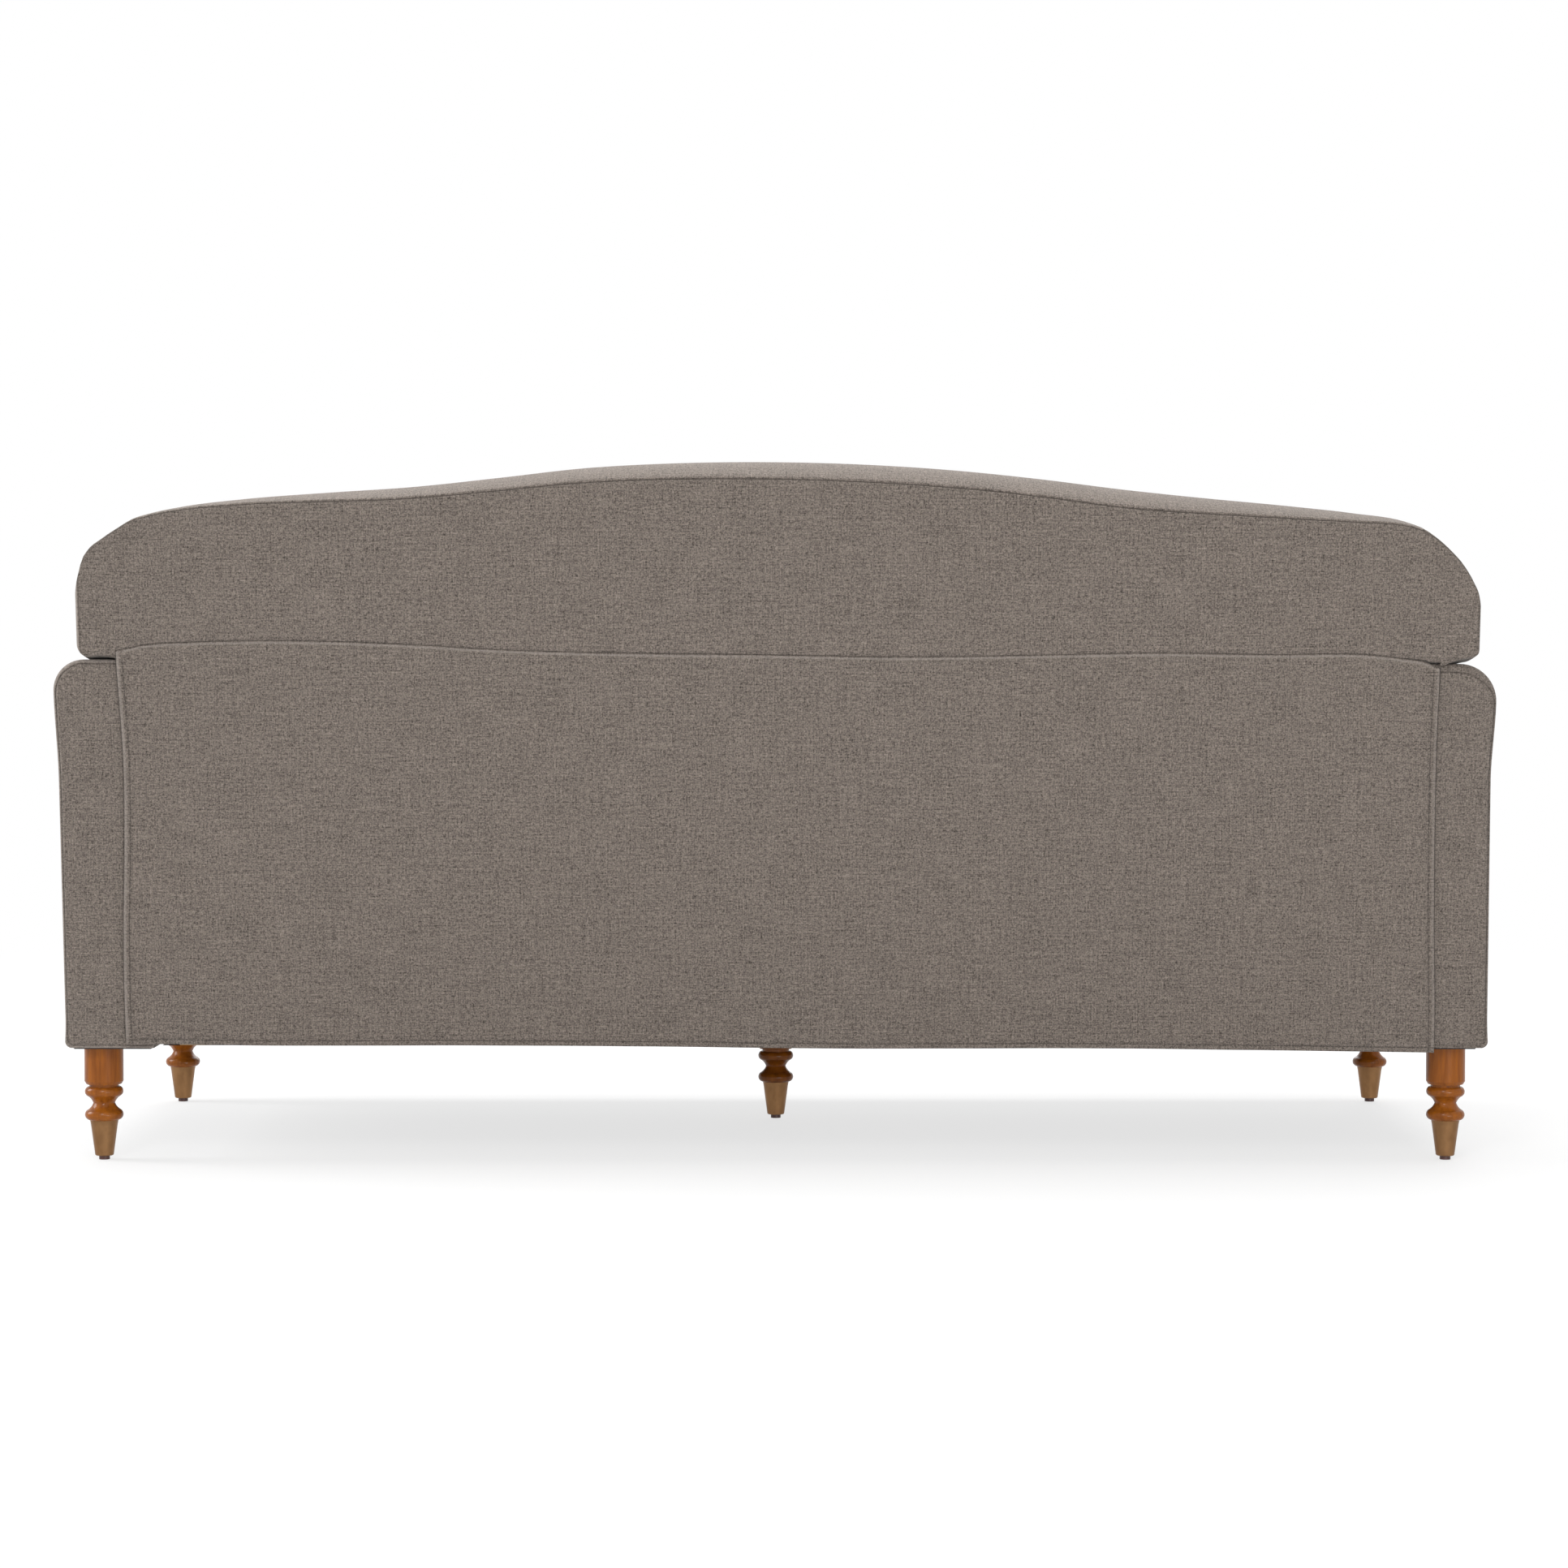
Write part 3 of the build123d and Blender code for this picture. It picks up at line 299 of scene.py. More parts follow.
def plainStuff(name, tone, shade, grain, roughness, depth, sheen=0.0):
    # foam, tape, felt or plastic: speckle of one grain size in colour and height
    material, shader, coord = paint(name)
    speck = stretched(coord, (grain,) * 3, (2, 6, 1), 3.0, 0.65)
    patch = stretched(coord, (14 * grain,) * 3, (7, 1, 5), 2.0)
    mixed = blendColour(between(speck, 0.32, 0.68), shade, tone)
    wire(shader, Base_Color=blendColour(between(patch, 0.4, 0.7, 0.0, 0.35), mixed, shade),
         Roughness=between(speck, 0.2, 0.8, roughness - 0.05, roughness + 0.05),
         Normal=bumped(speck, depth, 0.6), Sheen_Weight=sheen)
    return material


strapLook = {"rib": 0.0024, "fibre": (0.004, 0.001, 1), "lineAt": 0.016, "lineHalf": 0.0022,
             "dark": (0.03, 0.029, 0.028, 1), "pale": (0.075, 0.072, 0.068, 1),
             "line": (0.42, 0.4, 0.36, 1), "roughness": 0.8}


def wovenStrap(name, look):
    # elastic webbing: ribs across the strap, two pale lines along it, on the UV map
    material, shader, coord = paint(name, True)
    ribs = waves(coord, "X", look["rib"])
    fibre = stretched(coord, look["fibre"], (1, 2, 0), 3.0)
    middle = combine("ABSOLUTE", put(coord.id_data, "SeparateXYZ", Vector=coord).outputs[1], 0.0)
    away = combine("ABSOLUTE", combine("SUBTRACT", middle, look["lineAt"]), 0.0)
    lines = combine("LESS_THAN", away, look["lineHalf"])
    base = blendColour(between(fibre, 0.3, 0.7), look["dark"], look["pale"])
    wire(shader, Base_Color=blendColour(lines, base, look["line"]), Roughness=look["roughness"],
         Normal=bumped(combine("ADD", ribs, fibre), 0.0005, 0.6))
    return material


cloth = linenCloth("linen_cloth", linenLook)
cushionCloth = linenCloth("cushion_cloth", linenLook, cushionSeams)
# dark thread: partly the stitches' own colour, partly painted shade of the stitch holes; it also colours the
# cords of painted shadow beside the flap
thread = plainStuff("stitch_thread_and_painted_shadow", (0.06, 0.049, 0.042, 1), (0.034, 0.028, 0.024, 1), 0.0008, 0.7, 0.0002)
legLacquer = grainedWood("leg_lacquer", (0.335, 0.103, 0.011, 1), (0.18, 0.049, 0.005, 1),
                         (0.007, 0.007, 0.07), 0.28, 0.24)
rawWood = grainedWood("frame_timber", (0.56, 0.39, 0.23, 1), (0.38, 0.235, 0.12, 1),
                      (0.09, 0.008, 0.008), 0.68, 0.0)
uprightWood = grainedWood("post_timber", (0.54, 0.38, 0.22, 1), (0.36, 0.225, 0.12, 1),
                          (0.008, 0.008, 0.09), 0.68, 0.0)
lengthWood = grainedWood("side_timber", (0.55, 0.38, 0.22, 1), (0.37, 0.23, 0.12, 1),
                         (0.008, 0.09, 0.008), 0.68, 0.0)
brass = metal("ferrule_brass", (0.262, 0.142, 0.064, 1), (0.205, 0.107, 0.048, 1), 0.38,
              (0.002, 0.002, 0.03))
steel = metal("plated_steel", (0.58, 0.58, 0.56, 1), (0.42, 0.42, 0.41, 1), 0.32, (0.004, 0.004, 0.004))
glidePlastic = plainStuff("glide_plastic", (0.085, 0.026, 0.019, 1), (0.055, 0.018, 0.014, 1),
                          0.002, 0.42, 0.0001)
foam = plainStuff("seat_foam", (0.74, 0.69, 0.56, 1), (0.62, 0.56, 0.43, 1), 0.0016, 0.92, 0.0006, 0.1)
dustFelt = plainStuff("dust_felt", (0.022, 0.023, 0.027, 1), (0.01, 0.01, 0.012, 1),
                      0.0012, 0.9, 0.0003, 0.15)
tapePile = plainStuff("fastener_tape", (0.085, 0.077, 0.07, 1), (0.04, 0.036, 0.033, 1),
                      0.0007, 0.85, 0.0005, 0.3)
strapWeave = wovenStrap("back_strap", strapLook)

finishes = {
    "leg": legLacquer, "ferrule": brass, "glides": glidePlastic, "hanger_bolts": steel, "leg_plates": steel,
    "leg_plate_screws": steel, "frame_bolts": steel, "threaded_inserts": brass, "seat_springs": steel,
    "spring_clips": glidePlastic, "post": uprightWood, "side_rail": lengthWood, "centre_rail": lengthWood,
    "sill": lengthWood, "arm_top_rail": lengthWood, "rail": rawWood, "block": rawWood,
    "corner_blocks": rawWood, "board": rawWood, "tape": tapePile, "cover": cloth, "flap": cloth,
    "dust_covers": dustFelt, "pad": foam, "core": foam, "back_webbing": strapWeave,
}
for name, node in nodes.items():
    key = name if name in finishes else next(k for k in finishes if name.endswith(k))
    for slot in node.material_slots:
        slot.material = finishes[key]
print("materials set on", len(nodes), "nodes")


# back: one padded form over the frame, in columns across x; the sizes of the arms and the flap stand with it
back = {
    "outline": [(-0.8925, 0.724), (-0.8898, 0.736), (-0.884, 0.7492), (-0.8702, 0.772),
                (-0.8535, 0.791), (-0.832, 0.8106), (-0.8202, 0.819), (-0.8045, 0.8252),
                (-0.7357, 0.8373), (-0.6633, 0.8455), (-0.5545, 0.8558),
                (-0.445, 0.8672), (-0.337, 0.8806), (-0.2285, 0.8915), (-0.12, 0.8985), (0.02, 0.902),
                (0.134, 0.9002), (0.242, 0.8942), (0.351, 0.882), (0.46, 0.8705), (0.568, 0.863),
                (0.677, 0.854), (0.75, 0.8446), (0.7935, 0.8355), (0.8082, 0.8312), (0.8279, 0.8198),
                (0.8476, 0.807), (0.8672, 0.7906), (0.8735, 0.78), (0.8778, 0.765), (0.8812, 0.752),
                (0.8835, 0.739)],
    # outline is the top of the padding from the right end to the left, rearFall the rear seam below it
    "rearFall": [(-0.8925, 0.004), (-0.87, 0.004), (-0.803, 0.008), (-0.701, 0.0156), (-0.569, 0.021),
                 (-0.457, 0.025), (-0.3, 0.0245), (0.04, 0.0235), (0.341, 0.019), (0.519, 0.015),
                 (0.656, 0.009), (0.76, 0.0055), (0.8835, 0.005)],
    "frontFall": 0.012, "frontEdge": 0.003, "capFrom": math.radians(60),
    "wingRound": {"left": 0.0145, "right": 0.0085}, "wingRise": {"left": 0.028, "right": 0.011},
    "endSwell": {"left": 0.003, "right": 0.002}, "endEdge": {"left": 0.0055, "right": 0.003},
    # at the wings' ends: a line of painted shade along the end seam, and on the left wing a painted
    # highlight on the end's edge, the side the light falls on
    "endSeam": {"left": 0.45, "right": 0.3}, "endHighlight": {"left": 0.55, "right": 0.0}, "endSeamHalf": 0.0009,
    "wingFoot": [(-0.8925, 0.6545), (-0.883, 0.6532), (-0.875, 0.6514), (-0.86, 0.6484),
                 (-0.8455, 0.6464), (-0.8, 0.6464), (0.8, 0.652), (0.8345, 0.6525),
                 (0.846, 0.6548), (0.858, 0.6555), (0.868, 0.6543), (0.8835, 0.655)],
    # the lip is the right wing's edge, which hangs over the arm
    "lip": [(-0.866, 0.0), (-0.856, 0.002), (-0.8434, 0.005), (-0.8433, 0.0)], "lipShare": 0.65,
    "flapFrom": -0.8431, "flapTo": 0.8343, "step": 0.0004, "seamEnds": (-0.843, 0.833), "seamLap": 0.014,
    "tuck": 0.0027, "tuckRun": 0.003, "turn": 0.006, "neck": 0.7993, "deck": 0.3005,
    "swell": 0.018, "swellFoot": 0.49, "swellRise": 0.1, "swellHead": 0.085, "swellEnds": 0.1,
    "swellWing": 0.05, "rearPillow": 0.0025, "pillowRun": 0.12, "groove": 0.002, "grooveHalf": 0.0014,
    # grooveDark and darkShare paint shade along the seam grooves; the end values place the painted shade and
    # painted highlight at the wings' ends
    "grooveTilt": (0.6, 0.8), "grooveDark": 0.9, "darkShare": 0.55, "endSeamAt": 0.9,
    "endHighlightAt": 0.8, "endHighlightRun": 0.4,
    "wingSag": 0.007, "wingClear": 0.0003, "press": 0.0012, "pressFrom": 0.24, "pressTo": 0.372,
    "faceY": 0.14958, "faceZ": 0.3, "faceSlope": 0.21256,  # front of the padding at the deck, and its lean
    "hidden": 0.075, "columns": 190, "crowding": 1.35,
}
arm = {
    "inner": 0.8002, "top": 0.648, "foot": 0.1496, "innerRound": 0.04, "footRound": 0.0085,
    "rollFoot": 0.5,
    "frontY": -0.4148, "frontRound": 0.014, "rearRound": 0.008, "rearLayer": 0.0047, "reach": 0.055,
    "footSquare": 0.1, "squareFrom": 0.004, "squareRun": 0.03, "crownFrom": 0.05, "crownRun": 0.055,
    "frontSeamIn": 0.0145, "beside": 0.006, "groove": 0.0017, "grooveHalf": 0.001, "lineFrom": 0.002,
    # dark: painted shade along the seam groove, less by crownPale on the crown; the run after it is the
    # width of a painted highlight beside the seam
    "lineRun": 0.01, "dark": 0.7, "crownPale": 0.25, "foldRun": 0.0012, "pillow": 0.0022, "pillowRun": 0.03,
    "pressRun": 0.02,
    # per side: the last value paints a highlight beside the rear seam, on the left arm only, where the light
    # falls
    "left": {"rise": 0.0025, "side": 0.913, "flare": 0.0018, "roll": 0.9162, "outerRound": 0.04,
             "seamTop": 0.005, "seamSide": 0.0034, "fold": 0.3},
    "right": {"rise": -0.003, "side": 0.9135, "flare": 0.006, "roll": 0.9176, "outerRound": 0.049,
              "seamTop": 0.011, "seamSide": 0.003, "fold": 0.0},
}
flap = {
    "top": [(-0.843, 0.64), (-0.831, 0.646), (-0.795, 0.6523), (-0.75, 0.657), (-0.639, 0.657),
            (-0.483, 0.659), (-0.355, 0.657), (-0.187, 0.6542), (0.043, 0.6572), (0.125, 0.658),
            (0.261, 0.6605), (0.338, 0.663), (0.476, 0.6706), (0.567, 0.6738), (0.66, 0.6746),
            (0.737, 0.6728), (0.796, 0.6695), (0.833, 0.662)],
    "foot": [(-0.849, 0.1442), (-0.7166, 0.1462), (-0.5912, 0.1478), (-0.4658, 0.1494), (-0.0477, 0.1497),
             (0.1613, 0.1522), (0.3704, 0.1534), (0.7049, 0.1538), (0.7885, 0.1552), (0.8345, 0.1545)],
    "left": [(0.144, 0.8345), (0.211, 0.8352), (0.3, 0.8338), (0.42, 0.8292), (0.529, 0.8278),
             (0.557, 0.8288), (0.621, 0.8318), (0.675, 0.8345)],
    "right": [(0.144, -0.849), (0.208, -0.848), (0.3, -0.8445), (0.42, -0.8418), (0.529, -0.8408),
              (0.569, -0.841), (0.636, -0.8425), (0.675, -0.843)],
    "from": -0.846, "to": 0.834, "wide": 1.68, "tall": 0.505, "outer": -0.0003, "inner": 0.0019,
    "edge": 0.0016, "hem": 0.0092, "hemRise": 0.0013, "hemRun": 0.0016, "hemFrom": 0.003, "hemGrow": 0.004,
    "stitchIn": 0.0075, "stitchUp": 0.0064, "sewSink": 0.0009, "sewHalf": 0.0011, "lineHalf": 0.0009,
    "wave": 0.0026, "hold": (0.12, 0.12, 0.14), "ripple": 0.0008, "rippleRun": 0.05,
    "curl": 0.0022, "curlHalf": 0.006, "curlRun": 0.03, "ridge": 0.0012, "ridgeIn": 0.0035,
    # sewDark and topDark: painted shade along the stitch line and the top seam; sidePale and topPale:
    # painted highlight along the hems' folded side and top edges, paler on the left, where the light falls,
    # and left out near the foot
    "ridgeHalf": 0.0022, "rippleTurn": 41.0, "sewDark": 0.3, "topDark": 0.7,
    "sidePale": {"left": 0.42, "right": 0.26}, "sideHighlightIn": 0.002, "sideHighlightHalf": 0.0018,
    "topPale": 0.4, "topHighlightIn": 0.0032, "topHighlightHalf": 0.0014, "foldFoot": 0.004, "innerKeep": 1.2,
}


def backColumns():
    spread = np.linspace(-1.0, 1.0, back["columns"])
    ends = back["outline"][0][0], back["outline"][-1][0]
    crowded = np.sign(spread) * (1 - (1 - np.abs(spread)) ** back["crowding"])
    x = np.where(spread < 0, -ends[0], ends[1]) * crowded
    step = back["step"]
    steps = [s * (back["neck"] + v) for s in (-1, 1) for v in (0, step)]
    steps += [back["flapFrom"] - step, back["flapFrom"], back["flapTo"], back["flapTo"] + step]
    near = np.array([0.0004, 0.001, 0.0018, 0.0026, 0.0034, 0.0042, 0.005, 0.0058, 0.0068])
    return np.unique(np.concatenate([x, steps, ends[0] + near, ends[1] - near]).round(6))


def fromEnds(x):
    # distance from a column to its own end of the back
    return np.where(x < 0, x - back["outline"][0][0], back["outline"][-1][0] - x)


def bySide(key, x):
    return np.where(x < 0, back[key]["right"], back[key]["left"])


def pressed(y):
    # how far a wing sinks into the arm's top: press * sin(pi t)^2 over the depth of the wing
    t = np.clip((y - back["pressFrom"]) / (back["pressTo"] - back["pressFrom"]), 0, 1)
    return back["press"] * np.sin(np.pi * t) ** 2


def frontPlane(z):
    # y of the front of the padding before it swells; leans 12 degrees
    return back["faceY"] + (z - back["faceZ"]) * back["faceSlope"]


def backForm():
    # for every column x: up the rear panel, over the swollen boxing, down the front, and back underneath
    x = backColumns()[:, None]
    top = through(x, back["outline"])
    rearSeam = top - through(x, back["rearFall"])
    endShare = np.abs(x) / np.where(x < 0, -back["outline"][0][0], back["outline"][-1][0])
    frontSeam = top - back["frontFall"] * (1 - endShare ** 8) - back["frontEdge"]
    within = back["step"] / 2
    inner = np.abs(x) < back["neck"] + within
    fromEnd, r, edge = fromEnds(x), bySide("wingRound", x), bySide("endEdge", x)
    bite = np.clip(r - bySide("endSwell", x) - fromEnd, 0, r)
    edgeDip = edge - np.sqrt(edge ** 2 - np.clip(edge - fromEnd, 0, edge) ** 2)
    wingFlat = np.interp(x, *np.array(back["wingFoot"]).T)
    wingFoot = wingFlat + bySide("wingRise", x) * (1 - np.sqrt(1 - (bite / r) ** 2))
    seamLine = through(np.clip(x, *back["seamEnds"]), flap["top"])
    covered = (x > back["flapFrom"] - within) & (x < back["flapTo"] + within)
    lip = np.interp(x, *np.array(back["lip"]).T)
    rearFoot = np.where(inner, seamLine - back["seamLap"], wingFoot - lip)
    # rear panel
    t = packed(46, 2.4)[None, :]
    z = rearFoot + (rearSeam - rearFoot) * t
    overSeam = ease((z - seamLine + back["tuckRun"] / 2) / back["tuckRun"])
    tuck = np.where(covered, back["tuck"] * (1 - overSeam), 0.0)
    turn = np.where(inner, 0.0, back["turn"] - back["lipShare"] * lip)
    dip = np.clip(turn - (z - rearFoot), 0, None)
    turned = turn - np.sqrt(np.clip(turn * turn - dip * dip, 0, None))
    dome = back["rearPillow"] * np.sin(np.pi * t) * np.clip(fromEnd / back["pillowRun"], 0, 1)
    rear = joined(x, rearY(z, tuck + turned + edgeDip - dome), z)
    # boxing: straight from seam to seam plus a swell of sin(pi s)^0.75
    s = packed(44, 2.2)[None, :]
    y = rearY(rearSeam, edgeDip) * (1 - s) + frontPlane(frontSeam) * s
    chord = rearSeam * (1 - s) + frontSeam * s
    z = chord + (top - (rearSeam + frontSeam) / 2) * np.sin(np.pi * s) ** 0.75
    boxing = joined(x, y, z)
    # front: swells above the cushions
    foot = np.where(inner, back["deck"], wingFoot)
    z = frontSeam + (foot - frontSeam) * packed(60, 2.0)[None, :]
    swell = ease((z - back["swellFoot"]) / back["swellRise"]) * ease((frontSeam - z) / back["swellHead"])
    swell = swell * ease(fromEnd / back["swellEnds"])
    swell = np.where(inner, swell, swell * ease((z - wingFoot) / back["swellWing"]))
    front = joined(x, frontPlane(z) - back["swell"] * swell, z)
    # underneath: inner columns go back under the padding, up inside the frame and out to the seam
    k = np.linspace(0, 1, 9)[None, :]
    frontFoot, rearStart = front[:, -1:, 1], rear[:, :1, 1]
    hiddenFoot, hiddenHead = rearY(back["deck"], back["hidden"]), rearY(rearFoot, back["hidden"])
    lift = back["deck"] + (rearFoot - back["deck"]) * k
    runs = [joined(frontFoot * (1 - k) + hiddenFoot * k, back["deck"]),
            joined(rearY(lift, back["hidden"]), lift)[:, 1:],
            joined(hiddenHead * (1 - k) + rearStart * k, rearFoot)[:, 1:]]
    deep = np.concatenate(runs, 1)
    # the wings go straight back over the arms and sag on to them
    k = np.linspace(0, 1, deep.shape[1])[None, :]
    armTop = arm["top"] + np.where(x > 0, arm["left"]["rise"], arm["right"]["rise"])
    y = frontFoot * (1 - k) + rearStart * k
    resting = armTop - pressed(y) + back["wingClear"]
    sagged = np.maximum(wingFoot - back["wingSag"] * np.sin(np.pi * k), resting)
    sagged = np.where(k == 1, rearFoot, np.minimum(sagged, wingFoot))
    under = np.where(inner[..., None], deep, joined(y, sagged))
    return rear, boxing, front, joined(x, under[..., 0], under[..., 1])


def groovedSeams(rear, boxing, front):
    # the sewn lines sink: depth * exp(-(distance / half width)^2), along the way into the padding
    paintedShades = [np.zeros(panel.shape[:2]) for panel in (rear, boxing, front)]
    inward, down = back["grooveTilt"]
    for panel, atEnd, k, way in ((rear, True, 0, 1), (boxing, False, 1, 1), (boxing, True, 1, -1),
                                 (front, False, 2, -1)):
        length = runLength(panel, 1)
        away = length[:, -1:] - length if atEnd else length
        sink = back["groove"] * bell(away, back["grooveHalf"])
        panel[..., 1] -= sink * (way * inward)
        panel[..., 2] -= sink * down
        # painted shade along the seam grooves
        dark = back["grooveDark"] * bell(away, back["darkShare"] * back["grooveHalf"])
        paintedShades[k] = np.maximum(paintedShades[k], dark)
    x = rear[:, :1, 0]
    edge = bySide("endEdge", x)
    # painted shade along the wing's end seam, and a painted highlight on the left wing's end
    endSeam = bySide("endSeam", x) * bell(fromEnds(x) - back["endSeamAt"] * edge, back["endSeamHalf"])
    inEdge = (back["endHighlightAt"] * edge - fromEnds(x)) / (back["endHighlightRun"] * edge)
    endHighlight = bySide("endHighlight", x) * ease(inEdge)
    paintedShades[0] = np.maximum(paintedShades[0], endSeam) - endHighlight * (1 - paintedShades[0])
    return paintedShades


def endCap(sections, side):
    # rings of the last column drawn to its middle while x runs out, from angle a0:
    # ring * (cos a / cos a0)^0.6, x + swell * (sin a - sin a0) / (1 - sin a0)
    ring = np.concatenate([part[-1 if side > 0 else 0] for part in sections])
    first = back["capFrom"]
    angle = np.linspace(first, math.pi / 2, 13)[:, None]
    centre = (ring.min(0) + ring.max(0)) / 2
    shrink = (np.cos(angle) / math.cos(first)) ** 0.6
    shrink[-1] = 0.0
    points = centre + (ring - centre)[None] * shrink[..., None]
    swell = back["endSwell"]["left" if side > 0 else "right"]
    out = swell * (np.sin(angle) - math.sin(first)) / (1 - math.sin(first))
    points[..., 0] = ring[None, :, 0] + side * out
    return points, points[..., [1, 2]]


rear, boxing, front, under = backForm()
rearShade, boxingShade, frontShade = groovedSeams(rear, boxing, front)
# the boxing's weave runs along its middle, so that it keeps its size round the wings
middle = boxing.shape[1] // 2
boxingRun = runLength(boxing[:, middle:middle + 1], 0)
backGrids = [(rear, rear[..., [0, 2]], rearShade),
             (boxing, joined(boxingRun, runLength(boxing, 1) + 0.3), boxingShade),
             (front, front[..., [0, 2]], frontShade), (under, under[..., [0, 1]])]
backGrids += [endCap((rear, boxing, front, under), side) for side in (-1, 1)]
backPiece = weldGrids("back_padding", backGrids, cloth)
dress(backPiece, "settee_frame", ["back_cover"])

# foam behind the straps: a slab whose rear bulges between them
lining = {"half": 0.797, "foot": 0.304, "head": 0.65, "layer": 0.0606, "deep": 0.036, "bulge": 0.0036,
          "bulgeRun": 0.022, "edgeRun": 0.03, "postX": 0.7645, "postHalf": 0.034, "postRun": 0.05}
strap = {"foot": 0.18, "pitch": 0.1, "wide": 0.05, "count": 5, "end": 0.7945, "half": 0.00072,
         "edge": 0.0012, "layer": 0.05945}


def liningForm():
    # rear face y(x, z) = layer - bulge * (strap gap) * (post gap); flat front, closed all round
    x = np.linspace(-lining["half"], lining["half"], 150)[:, None]
    z = np.linspace(lining["foot"], lining["head"], 90)[None, :]
    rise = (z - lean["heelZ"]) / math.cos(lean["angle"])
    phase = (rise - strap["foot"] - strap["wide"] / 2) / strap["pitch"]
    fromStrap = np.abs(phase - np.round(phase)) * strap["pitch"] - strap["wide"] / 2
    fromPost = np.minimum(np.abs(x), np.abs(np.abs(x) - lining["postX"])) - lining["postHalf"]
    edge = ease((lining["half"] - np.abs(x)) / lining["edgeRun"])
    edge = edge * ease((z - lining["foot"]) / lining["edgeRun"])
    out = lining["bulge"] * ease(fromStrap / lining["bulgeRun"]) * ease(fromPost / lining["postRun"]) * edge
    faces = [joined(x, rearY(z, layer), z)
             for layer in (lining["layer"] - out, lining["layer"] + lining["deep"])]
    return flatOn(faces, 0, 2) + flatOn(rims(*faces), 0, 1)


dress(weldGrids("back_lining_foam", liningForm(), foam), "settee_frame", ["back_pad"])


def strapForm():
    # five flat straps, half thickness falling to zero at the selvedges: t * sqrt(1 - (1 - d / edge)^2)
    across = packed(15, 2.5)
    x = np.linspace(-strap["end"], strap["end"], 120)[:, None]
    half = strap["half"] * rounded(np.minimum(across, 1 - across)[None, :] * strap["wide"], strap["edge"])
    grids = []
    for k in range(strap["count"]):
        rise = strap["foot"] + k * strap["pitch"] + strap["wide"] * across[None, :]
        z = lean["heelZ"] + rise * math.cos(lean["angle"])
        faces = [joined(x, rearY(z, strap["layer"] + side * half), z) for side in (-1, 1)]
        grids += [(face, joined(x, rise - rise.mean())) for face in faces]
        grids += flatOn(rims(*faces)[:2], 1, 2)
    return grids


straps = weldGrids("back_straps", strapForm(), strapWeave)
dress(straps, "settee_frame", ["back_webbing"])


# arms: an upright profile with a roll, carried from the front facing to the leaning rear panel
def armProfile(own):
    # closed run of straight sides, quarter rounds and the roll's easing, as (x, z), from the inner foot
    a, q = arm, np.linspace(0, math.pi / 2, 15)
    top, outer, inner, r = a["top"] + own["rise"], own["outerRound"], a["inner"], a["innerRound"]
    innerSide = joined(inner, np.linspace(a["foot"], top - r, 31)[:-1])
    innerTop = joined(inner + r * (1 - np.cos(q)), top - r * (1 - np.sin(q)))
    crown = joined(np.linspace(inner + r, own["roll"] - outer, 10)[1:-1], top)
    outerTop = joined(own["roll"] - outer * (1 - np.sin(q)), top - outer * (1 - np.cos(q)))
    fall = np.linspace(top - outer, a["rollFoot"], 26)[1:]
    rolled = ease((fall - a["rollFoot"]) / (top - outer - a["rollFoot"]))
    roll = joined(own["side"] + (own["roll"] - own["side"]) * rolled, fall)
    straight = np.linspace(a["rollFoot"], a["foot"] + a["footRound"], 26)[1:]
    flared = own["side"] + own["flare"] * (a["rollFoot"] - straight) / (a["rollFoot"] - a["foot"])
    corner = flared[-1] - a["footRound"]
    foot = joined(corner + a["footRound"] * np.cos(q), a["foot"] + a["footRound"] * (1 - np.sin(q)))[1:]
    under = joined(np.linspace(corner, inner, 13)[1:], a["foot"])
    outerSide = joined(flared, straight)
    return np.concatenate([innerSide, innerTop, crown, outerTop, roll, outerSide, foot, under])


